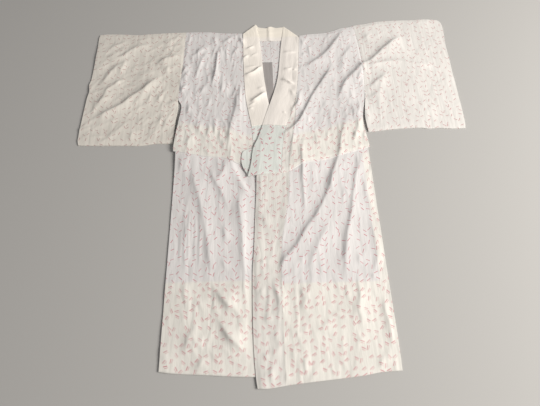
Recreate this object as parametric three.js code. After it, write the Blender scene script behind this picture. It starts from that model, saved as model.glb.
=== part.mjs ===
// A nagajuban, the long robe worn under a kimono, laid out flat on its back and closed,
// with the left front over the right. Every piece is a wall of cloth that follows the
// layers under it. Millimetres: +X to the wearer's left, +Y to the neck, +Z up, and the
// back rests on z = 0.

import * as THREE from 'three';

// Cloth and layers
const WALL = 1; // thickness of one layer
const LAYER = 1.5; // height from one layer to the next
const SEAM = 0.3; // gap between pieces sewn edge to edge
const SETTLE = 100; // length over which cloth comes down from a stack

// Lines straight across the back
const BACK_FOLD = 72; // lower edge of the waist tuck
const BACK_SEAM = -3; // centre back
const BACK_INSET = 2; // the front laps the back by this at the side edges
const TUCK = 100; // depth of the waist tuck, three layers of cloth
const TURN = 4; // clearance past the turned edges of a tuck
const TUCKED_IN = 5; // side edges inside a tuck lie this much further in
const BACK_ROWS = [
  { y: 536, facing: -1, level: 0 }, { y: 470, facing: -1, level: 0 },
  { y: 400, facing: -1, level: 0 }, { y: 330, facing: -1, level: 0 },
  { y: 280, facing: -1, level: 0 }, { y: 250, facing: -1, level: 0 },
  { y: 172, facing: -1, level: 0 },
  { y: 72, facing: -1, level: 0 }, { y: 72, facing: 1, level: 1 },
  { y: 172, facing: 1, level: 1 }, { y: 172, facing: -1, level: 2 },
  { y: 72, facing: -1, level: 2 },
  { y: 55, facing: -1 }, { y: 40, facing: -1 }, { y: 22, facing: -1 }, { y: 4, facing: -1 },
  { y: -14, facing: -1 }, { y: -30, facing: -1 }, { y: -300, facing: -1 },
  { y: -572, facing: -1 },
];

// Right front, which lies under the left one
const HIDDEN_BAND_SEAM = 5;
const HIDDEN_EDGE = 76;
const HIDDEN_EDGE_IN_TUCK = 46;
const REACH = 26; // how far the left front stays up past the right one
const REACH_ABOVE_TUCK = 18;
const REACH_SLOPE = 40;

// Collar
const NECK_POINT_Y = 244; // where the two sides of the collar cross
const RAISE = { low: 160, high: 240 }; // the collar rises by a layer between these heights
const RAISE_MARGIN = 45; // the panel beside the collar rises with it over this width
const CREAM_START = { right: 0.27, left: 0.3 }; // shares of each side of the collar
const UNDER_CREAM = 0.995;
const CREAM_UNDERLAY = { low: 118, high: 148 };
const COLLAR_COLUMNS = 4;
const COLLAR_SHARES = {
  right: [0, 0.09, 0.18, 0.27, 0.32, 0.37, 0.42, 0.48, 0.54, 0.6, 0.66, 0.72, 0.78, 0.84,
    0.9, 0.95, 0.99, 1],
  left: [0, 0.05, 0.1, 0.15, 0.2, 0.25, 0.3, 0.35, 0.4, 0.45, 0.5, 0.56, 0.62, 0.68, 0.74,
    0.8, 0.86, 0.92, 0.96, 0.99, 1],
};
const COLLAR_SEAM = 0.6; // gap along the curved outer edge of the collar
const PEAK_ROOM = 2; // room for the collar's turn at its peak
const BAND_TOP_ROW = 7; // the band ends at this row of the front above its tuck
const PEAK_START = { low: 535, high: 560 };
const ARMHOLE_END = 285; // the sleeve hangs free of the body below this
const SLEEVE_SEAM_MARGIN = 25;
const PATCH = { left: -90, right: -6, top: 433, bottom: 247 };

// Upper and lower edges, by x
const SHOULDER = [
  { x: -634, y: 577 }, { x: -626, y: 580 }, { x: -597, y: 583 }, { x: -539, y: 581 },
  { x: -479, y: 576 }, { x: -451, y: 579 }, { x: -392, y: 582 }, { x: -304, y: 584 },
  { x: -216, y: 582 }, { x: -187, y: 577 }, { x: -98, y: 571 }, { x: 0, y: 560 },
  { x: 101, y: 555 }, { x: 136, y: 561 }, { x: 196, y: 566 }, { x: 226, y: 574 },
  { x: 257, y: 587 }, { x: 287, y: 592 }, { x: 318, y: 602 }, { x: 348, y: 606 },
  { x: 379, y: 614 }, { x: 410, y: 618 }, { x: 470, y: 621 }, { x: 530, y: 621 },
  { x: 561, y: 624 }, { x: 591, y: 623 }, { x: 620, y: 618 }, { x: 634, y: 611 },
];
const SLEEVE_BOTTOM = [
  { x: -634, y: 106 }, { x: -611, y: 104 }, { x: -560, y: 102 }, { x: -484, y: 100 },
  { x: -433, y: 98 }, { x: -382, y: 104 }, { x: -331, y: 103 }, { x: 315, y: 130 },
  { x: 341, y: 133 }, { x: 395, y: 138 }, { x: 474, y: 140 }, { x: 499, y: 136 },
  { x: 526, y: 138 }, { x: 577, y: 134 }, { x: 624, y: 135 },
];
const RIGHT_HEM = [
  { x: -319, y: -577 }, { x: -285, y: -582 }, { x: -204, y: -588 }, { x: -104, y: -595 },
  { x: 76, y: -600 },
];
const LEFT_HEM = [
  { x: -70, y: -624 }, { x: -44, y: -624 }, { x: -24, y: -622 }, { x: 16, y: -617 },
  { x: 96, y: -610 }, { x: 157, y: -605 }, { x: 198, y: -601 }, { x: 239, y: -595 },
  { x: 298, y: -592 },
];
const RIGHT_FOLD = [
  { x: -324, y: 73 }, { x: -227, y: 51 }, { x: -161, y: 42 }, { x: -110, y: 19 },
  { x: -46, y: 7 }, { x: 76, y: 0 },
];
const LEFT_FOLD = [
  { x: -90, y: -26 }, { x: -63, y: -26 }, { x: -10, y: -19 }, { x: 42, y: -8 },
  { x: 83, y: 15 }, { x: 153, y: 28 }, { x: 202, y: 42 }, { x: 251, y: 56 },
  { x: 298, y: 71 },
];

// Side edges, by y
const SKIRT_SIDE = {
  right: [{ y: -578, x: -319 }, { y: -330, x: -318 }, { y: 0, x: -316 }, { y: 73, x: -317 }],
  left: [{ y: -592, x: 296 }, { y: -500, x: 297 }, { y: -350, x: 295 }, { y: 71, x: 293 }],
};
const BODICE_SIDE = {
  right: [
    { y: 73, x: -324 }, { y: 88, x: -324 }, { y: 118, x: -322 }, { y: 148, x: -318 },
    { y: 180, x: -314 }, { y: 250, x: -309 }, { y: 280, x: -321 }, { y: 432, x: -314 },
    { y: 585, x: -310 },
  ],
  left: [
    { y: 71, x: 298 }, { y: 118, x: 292 }, { y: 148, x: 289 }, { y: 180, x: 290 },
    { y: 206, x: 294 }, { y: 280, x: 309 }, { y: 440, x: 316 }, { y: 596, x: 307 },
  ],
};
const SLEEVE_FREE_EDGE = {
  right: [{ y: 103, x: -327 }, { y: 164, x: -325 }, { y: 254, x: -320 }, { y: 285, x: -322 }],
  left: [{ y: 130, x: 303 }, { y: 162, x: 300 }, { y: 194, x: 299 }, { y: 285, x: 311 }],
};
const SLEEVE_OUTER_EDGE = {
  right: [
    { y: 104, x: -629 }, { y: 127, x: -634 }, { y: 287, x: -629 }, { y: 321, x: -625 },
    { y: 348, x: -630 }, { y: 372, x: -626 }, { y: 502, x: -624 }, { y: 560, x: -626 },
    { y: 580, x: -624 },
  ],
  left: [
    { y: 133, x: 620 }, { y: 161, x: 624 }, { y: 287, x: 626 }, { y: 427, x: 628 },
    { y: 502, x: 629 }, { y: 557, x: 634 }, { y: 600, x: 633 }, { y: 616, x: 628 },
  ],
};

// Edges down the front, by y
const LEFT_FRONT_EDGE = [
  { y: -624, x: -70 }, { y: -596, x: -74 }, { y: -506, x: -79 }, { y: -333, x: -79 },
  { y: -261, x: -74 }, { y: -136, x: -68 }, { y: -87, x: -65 }, { y: -27, x: -63 },
];
const LEFT_BAND_SEAM = [
  { y: -612, x: -1 }, { y: -336, x: 0 }, { y: -293, x: 2 }, { y: -233, x: 7 },
  { y: -171, x: 19 }, { y: -106, x: 31 }, { y: -56, x: 36 }, { y: -3, x: 38 },
  { y: 51, x: 44 }, { y: 99, x: 52 }, { y: 137, x: 61 }, { y: 180, x: 67 },
  { y: 230, x: 73 }, { y: 266, x: 78 },
];
// How far towards -X the left front and its collar cover the right front
const COVER_EDGE = [
  { y: -624, x: -84 }, { y: -80, x: -72 }, { y: -30, x: -96 }, { y: 10, x: -110 },
  { y: 60, x: -110 }, { y: 100, x: -84 }, { y: 244, x: -84 },
];
const COVER_MARGIN = 40;
const COLLAR = {
  right: {
    outer: [
      { y: 0, x: -52 }, { y: 73, x: -69 }, { y: 161, x: -76 }, { y: 209, x: -84 },
      { y: 271, x: -93 }, { y: 336, x: -98 }, { y: 448, x: -101 }, { y: 569, x: -102 },
    ],
    inner: [
      { y: 0, x: 45 }, { y: 100, x: 26 }, { y: 180, x: 3 }, { y: 244, x: -15 },
      { y: 299, x: -23 }, { y: 378, x: -31 }, { y: 494, x: -38 }, { y: 542, x: -44 },
      { y: 615, x: -54 },
    ],
    lower: { outer: 8, inner: 3 },
    peak: { outer: 569, inner: 615 },
  },
  left: {
    outer: [
      { y: -13, x: 13 }, { y: 60, x: 20 }, { y: 120, x: 28 }, { y: 170, x: 42 },
      { y: 230, x: 62 }, { y: 300, x: 79 }, { y: 397, x: 90 }, { y: 489, x: 97 },
      { y: 548, x: 101 },
    ],
    inner: [
      { y: -26, x: -90 }, { y: 18, x: -79 }, { y: 73, x: -71 }, { y: 110, x: -56 },
      { y: 152, x: -43 }, { y: 195, x: -31 }, { y: 244, x: -15 }, { y: 302, x: 3 },
      { y: 354, x: 16 }, { y: 444, x: 27 }, { y: 515, x: 35 }, { y: 603, x: 48 },
    ],
    lower: { outer: -13, inner: -26 },
    peak: { outer: 548, inner: 603 },
  },
};
// The end of the left collar, turned up inside the tuck and showing beside it
const COLLAR_TURN_UP = [
  { y: -14, left: -93, right: 12 }, { y: 4, left: -103, right: 12 },
  { y: 26, left: -109, right: 12 }, { y: 48, left: -108, right: 12 },
  { y: 64, left: -102, right: 12 }, { y: 73, left: -84, right: 12 },
];
// The collar behind the neck, from the left side to the right
const NECK_SECTIONS = [
  { outerX: 66, outerY: 538, innerX: 43, innerY: 600 },
  { outerX: 34, outerY: 534, innerX: 19, innerY: 597 },
  { outerX: 0, outerY: 533, innerX: 2, innerY: 604 },
  { outerX: -34, outerY: 534, innerX: -20, innerY: 597 },
  { outerX: -66, outerY: 542, innerX: -45, innerY: 602 },
];

// The largest folds: the crest runs from one point by another to a third, with a short
// flank on its -X side and a long one on its +X side
const FOLDS = [
  { from: [272, 268], by: [206, 40], to: [16, -310], height: 10, short: 20, long: 44 },
  { from: [286, 92], by: [238, -90], to: [172, -335], height: 7, short: 18, long: 34 },
  { from: [-108, 350], by: [-136, 60], to: [-84, -150], height: 9, short: 20, long: 36 },
  { from: [482, 548], by: [324, 405], to: [212, 235], height: 9, short: 20, long: 42 },
  { from: [262, 560], by: [212, 477], to: [110, 392], height: 6, short: 18, long: 34 },
  { from: [215, 430], by: [136, 277], to: [46, 120], height: 6, short: 16, long: 34 },
  { from: [306, 520], by: [274, 475], to: [232, 425], height: 4, short: 18, long: 28 },
  { from: [400, 388], by: [365, 335], to: [322, 285], height: 4, short: 18, long: 30 },
  { from: [-590, 180], by: [-470, 276], to: [-374, 420], height: 9, short: 20, long: 44 },
  { from: [-600, 460], by: [-498, 496], to: [-400, 530], height: 6, short: 16, long: 30 },
  { from: [-594, 330], by: [-548, 398], to: [-505, 452], height: 5, short: 18, long: 28 },
  { from: [-412, 410], by: [-380, 446], to: [-290, 500], height: 5, short: 16, long: 28 },
  { from: [-181, 540], by: [-186, 420], to: [-200, 285], height: 6, short: 18, long: 34 },
  { from: [-215, 510], by: [-236, 430], to: [-262, 320], height: 4, short: 18, long: 28 },
  { from: [-240, -50], by: [-222, -240], to: [-105, -455], height: 7, short: 22, long: 40 },
  { from: [-212, 60], by: [-184, -40], to: [-150, -140], height: 4, short: 18, long: 30 },
  { from: [-182, -425], by: [-140, -490], to: [-96, -570], height: 4, short: 18, long: 30 },
  { from: [142, -190], by: [112, -270], to: [72, -345], height: 4, short: 18, long: 30 },
  { from: [210, -330], by: [220, -420], to: [208, -495], height: 3, short: 18, long: 28 },
];
const FOLD_STEPS = 16;
const FOLD_TAPER = 0.3; // share of its length over which a fold rises and dies away
const BELOW_SHOULDER = { far: 45, near: 8 }; // the folds die away between these
const ABOVE_COVER = { low: 10, high: 90 }; // and start again above the crossed collar

// Rows and columns of each wall
const PANEL_COLUMNS = 12;
const BAND_COLUMNS = { left: 3, right: 2 };
const FRONT_ROWS = { skirt: 22, tuck: 4, chest: 16 };
const HIDDEN_BAND_ROWS = 16;
const SLEEVE_ROWS = { front: 18, back: 4 };
const PATCH_CELLS = 2;
const CROSSING_STEPS = 8;

// Colours
const PRINTED = { color: 0xe6e1dc, roughness: 0.9, metalness: 0 };
const CREAM = { color: 0xf1e7d8, roughness: 0.85, metalness: 0 };
const GREY = { color: 0xa5a0a2, roughness: 0.9, metalness: 0 };

// ---------------------------------------------------------------- tables and slopes

// Reads a table at a value of its key, on a smooth curve through its rows.
function read(table, key, value, wanted) {
  const last = table.length - 1;
  if (value <= table[0][key]) return table[0][wanted];
  if (value >= table[last][key]) return table[last][wanted];
  const after = table.findIndex((row) => row[key] >= value);
  const slope = (i) => {
    const low = table[Math.max(i - 1, 0)];
    const high = table[Math.min(i + 1, last)];
    return (high[wanted] - low[wanted]) / (high[key] - low[key]);
  };
  const [low, high] = [table[after - 1], table[after]];
  const span = high[key] - low[key];
  const u = (value - low[key]) / span;
  return (2 * u ** 3 - 3 * u ** 2 + 1) * low[wanted]
    + (u ** 3 - 2 * u ** 2 + u) * span * slope(after - 1)
    + (3 * u ** 2 - 2 * u ** 3) * high[wanted]
    + (u ** 3 - u ** 2) * span * slope(after);
}

const lineOver = (table) => (x) => read(table, 'x', x, 'y');
const edgeBy = (table) => (y) => read(table, 'y', y, 'x');
const mix = THREE.MathUtils.lerp;
const rise = (low, high, value) => THREE.MathUtils.smoothstep(value, low, high);
const fall = (low, high, value) => 1 - rise(low, high, value);

const shoulder = lineOver(SHOULDER);
const sleeveBottom = lineOver(SLEEVE_BOTTOM);
const rightFold = lineOver(RIGHT_FOLD);
const leftFold = lineOver(LEFT_FOLD);
const leftBandSeam = edgeBy(LEFT_BAND_SEAM);
const coverEdge = edgeBy(COVER_EDGE);
const collarEdge = {
  right: { outer: edgeBy(COLLAR.right.outer), inner: edgeBy(COLLAR.right.inner) },
  left: { outer: edgeBy(COLLAR.left.outer), inner: edgeBy(COLLAR.left.inner) },
};

// ---------------------------------------------------------------- heights, in layers

// Top of the back: one layer, and three in its tuck.
const backBed = (y) => 1
  + 2 * rise(BACK_FOLD - SETTLE, BACK_FOLD - TURN, y)
  * fall(BACK_FOLD + TUCK + TURN, BACK_FOLD + TUCK + SETTLE, y);

// The two layers that a tuck adds under what lies over it.
const tuckBed = (fold, y) => 2 * rise(fold - SETTLE, fold - TURN, y)
  * fall(fold + TUCK + TURN, fold + TUCK + SETTLE + TURN, y);

const collarRaise = (y) => rise(RAISE.low, RAISE.high, y);
const besideCollar = (distance) => fall(0, RAISE_MARGIN, Math.abs(distance));

// Inner limit of what lies under the left front.
function hiddenEdge(y) {
  if (y < 0) return HIDDEN_EDGE;
  if (y < TUCK) return mix(HIDDEN_EDGE, HIDDEN_EDGE_IN_TUCK, y / TUCK);
  return Math.min(HIDDEN_EDGE_IN_TUCK, collarEdge.right.inner(y));
}

// Top of the back and of all of the right front.
function rightBed(x, y) {
  const limit = hiddenEdge(y) + mix(REACH, REACH_ABOVE_TUCK, rise(0, 2 * TUCK, y));
  const covered = fall(limit, limit + REACH_SLOPE, x);
  const cream = rise(CREAM_UNDERLAY.low, CREAM_UNDERLAY.high, y);
  return backBed(y) + covered * (1 + tuckBed(rightFold(x), y) + cream + collarRaise(y));
}

// Height at which a front comes out of its tuck and settles towards the chest.
const outOfTuck = (fold, y) => 2 * fall(fold + TUCK, fold + TUCK + SETTLE, y);

const rightTop = (x, y) => backBed(y) + outOfTuck(rightFold(x), y);
const leftTop = (x, y) => rightBed(x, y) + outOfTuck(leftFold(x), y);

// ---------------------------------------------------------------- folds

const foldPaths = FOLDS.map(({ from, by, to, ...size }) => {
  const [start, middle, end] = [from, by, to].map(([x, y]) => new THREE.Vector2(x, y));
  const halfway = start.clone().add(end).multiplyScalar(0.5);
  const control = middle.clone().multiplyScalar(2).sub(halfway);
  const curve = new THREE.QuadraticBezierCurve(start, control, end);
  return { ...size, points: curve.getPoints(FOLD_STEPS) };
});

// Nearest place on a fold's crest: how far along it, and how far to its +X side.
function placeOnCrest(points, spot) {
  let best = { distance: Infinity };
  for (let i = 0; i < points.length - 1; i++) {
    const along = points[i + 1].clone().sub(points[i]);
    const share = THREE.MathUtils.clamp(
      spot.clone().sub(points[i]).dot(along) / along.lengthSq(), 0, 1);
    const offset = spot.clone().sub(points[i]).addScaledVector(along, -share);
    if (offset.length() >= best.distance) continue;
    const towardsX = new THREE.Vector2(along.y, -along.x).multiplyScalar(Math.sign(along.y));
    best = {
      distance: offset.length(),
      side: Math.sign(offset.dot(towardsX)),
      along: (i + share) / (points.length - 1),
    };
  }
  return best;
}

// How far the folds lift the cloth at a point.
function lift(x, y) {
  const spot = new THREE.Vector2(x, y);
  return foldPaths.reduce((sum, { points, height, short, long }) => {
    const { distance, side, along } = placeOnCrest(points, spot);
    const flank = side < 0 ? short : long;
    const taper = rise(0, FOLD_TAPER, along) * fall(1 - FOLD_TAPER, 1, along);
    return sum + height * taper * Math.exp(-((distance / flank) ** 2));
  }, 0);
}

const liftBelowShoulder = (x, y) => lift(x, y)
  * fall(shoulder(x) - BELOW_SHOULDER.far, shoulder(x) - BELOW_SHOULDER.near, y);
// The right front lies flat where the left one covers it.
const rightLift = (x, y) => liftBelowShoulder(x, y)
  * (1 - rise(coverEdge(y) - COVER_MARGIN, coverEdge(y) - TURN, x)
    * fall(NECK_POINT_Y + ABOVE_COVER.low, NECK_POINT_Y + ABOVE_COVER.high, y));
const flat = () => 0;

// ---------------------------------------------------------------- walls of cloth

const heightOf = (level, raised) => (x, y) => level(x, y) * LAYER + WALL / 2 + raised(x, y);

// A section is a row of points on the middle of the cloth, from its outer edge to its
// inner one. facing is 1 where the outer face of the cloth looks up, -1 where it looks down.
function section({ facing, outer, inner, level, raised = flat, columns, line }) {
  const height = heightOf(level, raised);
  const points = Array.from({ length: columns + 1 }, (_, i) => {
    const x = mix(outer.x, inner.x, i / columns);
    const y = line ? line(x) : mix(outer.y, inner.y, i / columns);
    return new THREE.Vector3(x, y, height(x, y));
  });
  return { points, facing, out: new THREE.Vector3(0, 0, facing) };
}

// A section on a line across the garment, between two edges given by y.
function sectionOnLine({ line, outer, inner, ...rest }) {
  return section({ line, outer: crossing(outer, line), inner: crossing(inner, line), ...rest });
}

function crossing(edge, line) {
  let y = line(0);
  for (let i = 0; i < CROSSING_STEPS; i++) y = line(edge(y));
  return { x: edge(y), y };
}

// The half turn between two sections that face opposite ways.
function halfTurn(before, last, next) {
  const travel = last.points[0].clone().sub(before.points[0]);
  const row = last.points.at(-1).clone().sub(last.points[0]);
  const onward = new THREE.Vector3(-row.y, row.x, 0).normalize();
  if (onward.dot(travel) < 0) onward.negate();
  const climb = next.points[0].z - last.points[0].z;
  const points = last.points.map((point, i) => {
    const middle = point.clone().add(next.points[i]).multiplyScalar(0.5);
    return middle.addScaledVector(onward, Math.abs(next.points[i].z - point.z) / 2);
  });
  return { points, out: onward.multiplyScalar(-last.facing * Math.sign(climb)) };
}

function withHalfTurns(sections) {
  return sections.flatMap((last, i) => {
    const next = sections[i + 1];
    if (!next || next.facing === last.facing) return [last];
    return [last, halfTurn(sections[i - 1], last, next)];
  });
}

// One piece of cloth as a closed wall through its sections.
function clothWall(sections) {
  const rows = withHalfTurns(sections);
  const across = rows[0].points.length;
  const faceSize = rows.length * across;
  const positions = [1, -1].flatMap((face) => rows.flatMap(({ points, out }) => (
    points.flatMap((point) => point.clone().addScaledVector(out, face * WALL / 2).toArray())
  )));
  const index = [];
  const quad = (a, b, c, d) => index.push(a, b, c, a, c, d);
  for (let row = 0; row < rows.length - 1; row++) {
    for (let column = 0; column < across - 1; column++) {
      const near = row * across + column;
      const under = faceSize + near;
      quad(near, near + 1, near + across + 1, near + across);
      quad(under, under + across, under + across + 1, under + 1);
    }
    const [start, end] = [row * across, (row + 1) * across - 1];
    quad(start, start + across, start + across + faceSize, start + faceSize);
    quad(end, end + faceSize, end + across + faceSize, end + across);
  }
  for (let column = 0; column < across - 1; column++) {
    const last = (rows.length - 1) * across + column;
    quad(column, column + faceSize, column + faceSize + 1, column + 1);
    quad(last, last + 1, last + faceSize + 1, last + faceSize);
  }
  const geometry = new THREE.BufferGeometry();
  geometry.setAttribute('position', new THREE.Float32BufferAttribute(positions, 3));
  geometry.setIndex(isInsideOut(positions, index) ? index.reverse() : index);
  geometry.computeVertexNormals();
  return geometry;
}

function isInsideOut(positions, index) {
  let volume = 0;
  for (let i = 0; i < index.length; i += 3) {
    const [a, b, c] = [0, 1, 2].map((corner) => (
      new THREE.Vector3().fromArray(positions, index[i + corner] * 3)
    ));
    volume += a.dot(b.cross(c));
  }
  return volume < 0;
}

const even = (count) => Array.from({ length: count + 1 }, (_, i) => i / count);

// ---------------------------------------------------------------- body

// A body panel is one length of cloth: up the front through its tuck, over the shoulder,
// and down the back through the tuck there. The front's zones, from the hem up:
function frontSections({ hem, fold, bed, top, raised, edges, columns, topRow }) {
  const zones = [
    { rows: FRONT_ROWS.skirt, facing: 1, level: bed, ...edges.skirt,
      line: (s) => (x) => mix(hem(x), fold(x), s) },
    { rows: FRONT_ROWS.tuck, facing: 1, level: bed, ...edges.tucked,
      line: (s) => (x) => fold(x) + TUCK * s },
    { rows: FRONT_ROWS.tuck, facing: -1, level: (x, y) => bed(x, y) + 1, ...edges.turned,
      line: (s) => (x) => fold(x) + TUCK * (1 - s) },
    { rows: FRONT_ROWS.tuck, facing: 1, level: top, ...edges.bodice,
      line: (s) => (x) => fold(x) + TUCK * s },
    { rows: FRONT_ROWS.chest, facing: 1, level: top, ...edges.bodice,
      line: (s) => (x) => mix(fold(x) + TUCK, shoulder(x), s) },
  ];
  return zones.flatMap(({ rows, line, ...zone }, i) => {
    const goesOn = i > 0 && zones[i - 1].facing === zone.facing;
    const end = i === zones.length - 1 ? topRow : undefined;
    return even(rows).slice(goesOn ? 1 : 0, end).map((s) => (
      sectionOnLine({ ...zone, line: line(s), raised, columns })
    ));
  });
}

function backSections({ side, sign, bodice, skirt }) {
  const seam = () => BACK_SEAM + sign * SEAM;
  const neck = () => COLLAR[side].outer.at(-1).x + sign * SEAM;
  const inset = (y) => bodice(y) - sign * BACK_INSET;
  const tucked = (y) => bodice(y) - sign * TUCKED_IN;
  const first = { line: shoulder, facing: -1, level: flat, outer: bodice, inner: neck };
  const rows = BACK_ROWS.map(({ y, facing, level }) => ({
    line: () => y,
    facing,
    level: level === undefined ? (_, at) => backBed(at) - 1 : () => level,
    outer: [inset, inset, tucked][level] ?? skirt,
    inner: seam,
  }));
  return [first, ...rows].map((row) => sectionOnLine({ ...row, columns: PANEL_COLUMNS }));
}

function bodySections(side) {
  const right = side === 'right';
  const sign = right ? -1 : 1;
  const skirt = edgeBy(SKIRT_SIDE[side]);
  const bodice = edgeBy(BODICE_SIDE[side]);
  const collarSeam = (y) => collarEdge[side].outer(y)
    + sign * (COLLAR_SEAM + PEAK_ROOM * rise(PEAK_START.low, PEAK_START.high, y));
  const bandSeam = right ? () => HIDDEN_BAND_SEAM - SEAM : (y) => leftBandSeam(y) + SEAM;
  const turnedSeam = right
    ? (y) => mix(COLLAR.right.outer[0].x, HIDDEN_BAND_SEAM, y / TUCK) - SEAM
    : bandSeam;
  const bodiceSeam = right ? collarSeam : (y) => Math.max(bandSeam(y), collarSeam(y));
  const top = right ? rightTop : leftTop;
  return [
    ...frontSections({
      hem: lineOver(right ? RIGHT_HEM : LEFT_HEM),
      fold: right ? rightFold : leftFold,
      bed: right ? (_, y) => backBed(y) : rightBed,
      top: (x, y) => top(x, y) + collarRaise(y) * besideCollar(x - bodiceSeam(y)),
      raised: right ? rightLift : liftBelowShoulder,
      edges: {
        skirt: { outer: skirt, inner: bandSeam },
        tucked: { outer: (y) => bodice(y) - sign * TUCKED_IN, inner: bandSeam },
        turned: { outer: bodice, inner: turnedSeam },
        bodice: { outer: bodice, inner: bodiceSeam },
      },
      columns: PANEL_COLUMNS,
    }),
    ...backSections({ side, sign, bodice, skirt }),
  ];
}

// The left front's band goes through the tuck too, and narrows to a point beside the collar.
function leftBandSections() {
  const inner = leftBandSeam;
  const besideLeftCollar = (y) => collarEdge.left.outer(y) + COLLAR_SEAM;
  const turnedEdge = () => COLLAR_TURN_UP[0].right + COLLAR_SEAM;
  const frontEdge = edgeBy(LEFT_FRONT_EDGE);
  return frontSections({
    hem: lineOver(LEFT_HEM),
    fold: leftFold,
    bed: rightBed,
    top: (x, y) => leftTop(x, y) + collarRaise(y),
    raised: lift,
    edges: {
      skirt: { outer: frontEdge, inner },
      tucked: { outer: (y) => mix(frontEdge(y), turnedEdge(), rise(0, TUCK, y)), inner },
      turned: { outer: turnedEdge, inner },
      bodice: { outer: besideLeftCollar, inner },
    },
    columns: BAND_COLUMNS.left,
    topRow: BAND_TOP_ROW,
  });
}

function rightBandSections() {
  const hem = lineOver(RIGHT_HEM);
  const outer = () => HIDDEN_BAND_SEAM;
  const skirt = even(HIDDEN_BAND_ROWS).map((s) => (x) => mix(hem(x), rightFold(x), s));
  const tucked = even(FRONT_ROWS.tuck).slice(1).map((s) => (x) => rightFold(x) + TUCK * s);
  return [...skirt, ...tucked].map((line) => sectionOnLine({
    line,
    facing: 1,
    level: (_, y) => backBed(y),
    outer,
    inner: hiddenEdge,
    columns: BAND_COLUMNS.right,
  }));
}

// ---------------------------------------------------------------- sleeves

// A sleeve is one length of cloth: up the front, over the fold and down the back.
function sleeveSections(side) {
  const right = side === 'right';
  const bodice = edgeBy(BODICE_SIDE[side]);
  const free = edgeBy(SLEEVE_FREE_EDGE[side]);
  const sign = right ? -1 : 1;
  const inner = (y) => (y > ARMHOLE_END ? bodice(y) : free(y)) + sign * SEAM;
  const outer = edgeBy(SLEEVE_OUTER_EDGE[side]);
  const raised = (x, y) => liftBelowShoulder(x, y)
    * rise(sleeveBottom(x), sleeveBottom(x) + SLEEVE_SEAM_MARGIN, y);
  const line = (s) => (x) => mix(sleeveBottom(x), shoulder(x), s);
  const row = (rest) => sectionOnLine({ outer, inner, columns: PANEL_COLUMNS, ...rest });
  const front = { facing: 1, level: () => 1, raised };
  return [
    ...even(SLEEVE_ROWS.front).map((s) => row({ ...front, line: line(s) })),
    ...even(SLEEVE_ROWS.back).map((s) => row({ facing: -1, level: flat, line: line(1 - s) })),
  ];
}

// ---------------------------------------------------------------- collar

// One side of the collar from its lower end to its peak, where it turns over behind the
// neck. start and end are shares of that length.
function collarSections({ side, start, end, extraLayers = 0 }) {
  const { outer, inner } = collarEdge[side];
  const { lower, peak } = COLLAR[side];
  const top = side === 'right' ? rightTop : leftTop;
  return COLLAR_SHARES[side].filter((s) => s >= start && s <= end).map((s) => {
    const [outerY, innerY] = ['outer', 'inner'].map((edge) => mix(lower[edge], peak[edge], s));
    return section({
      facing: 1,
      outer: { x: outer(outerY), y: outerY },
      inner: { x: inner(innerY), y: innerY },
      level: (x, y) => top(x, y) + collarRaise(y) + extraLayers,
      raised: side === 'right' ? rightLift : liftBelowShoulder,
      columns: COLLAR_COLUMNS,
    });
  });
}

// The left side's end is turned up inside the tuck.
function collarTurnUpSections() {
  return COLLAR_TURN_UP.toReversed().map(({ y, left, right }) => section({
    facing: -1,
    outer: { x: right, y },
    inner: { x: left, y },
    level: (x, at) => rightBed(x, at) + 1,
    columns: COLLAR_COLUMNS,
  }));
}

// The cream half collar covers both sides and the back of the neck in one strip.
function halfCollarSections() {
  const side = (name) => collarSections({
    side: name, start: CREAM_START[name], end: 1, extraLayers: 1,
  });
  const peak = (name) => ({
    outerX: collarEdge[name].outer(COLLAR[name].peak.outer), outerY: COLLAR[name].peak.outer,
    innerX: collarEdge[name].inner(COLLAR[name].peak.inner), innerY: COLLAR[name].peak.inner,
  });
  const behind = [peak('left'), ...NECK_SECTIONS, peak('right')].map((row) => section({
    facing: -1,
    outer: { x: row.outerX, y: row.outerY },
    inner: { x: row.innerX, y: row.innerY },
    level: () => 1,
    columns: COLLAR_COLUMNS,
  }));
  return [...side('left'), ...behind, ...side('right').toReversed()];
}

function patchSections() {
  return even(PATCH_CELLS).map((s) => section({
    facing: 1,
    outer: { x: PATCH.left, y: mix(PATCH.bottom, PATCH.top, s) },
    inner: { x: PATCH.right, y: mix(PATCH.bottom, PATCH.top, s) },
    level: () => 1,
    columns: PATCH_CELLS,
  }));
}

// ---------------------------------------------------------------- garment

const PIECES = [
  { name: 'body_right', sections: bodySections('right'), finish: PRINTED },
  { name: 'body_left', sections: bodySections('left'), finish: PRINTED },
  { name: 'sleeve_right', sections: sleeveSections('right'), finish: PRINTED },
  { name: 'sleeve_left', sections: sleeveSections('left'), finish: PRINTED },
  { name: 'band_right', sections: rightBandSections(), finish: PRINTED },
  { name: 'band_left', sections: leftBandSections(), finish: PRINTED },
  { name: 'collar_right',
    sections: collarSections({ side: 'right', start: 0, end: UNDER_CREAM }),
    finish: PRINTED },
  { name: 'collar_left',
    sections: [
      ...collarTurnUpSections(),
      ...collarSections({ side: 'left', start: 0, end: UNDER_CREAM }),
    ],
    finish: PRINTED },
  { name: 'half_collar', sections: halfCollarSections(), finish: CREAM },
  { name: 'back_patch', sections: patchSections(), finish: GREY },
];

const garment = new THREE.Group();
for (const { name, sections, finish } of PIECES) {
  const mesh = new THREE.Mesh(clothWall(sections), new THREE.MeshStandardMaterial(finish));
  mesh.name = name;
  garment.add(mesh);
}

// The origin is under the middle of the garment.
const box = new THREE.Box3().setFromObject(garment);
const middle = box.getCenter(new THREE.Vector3());
garment.position.set(-middle.x, -middle.y, -box.min.z);

export default garment;
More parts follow.
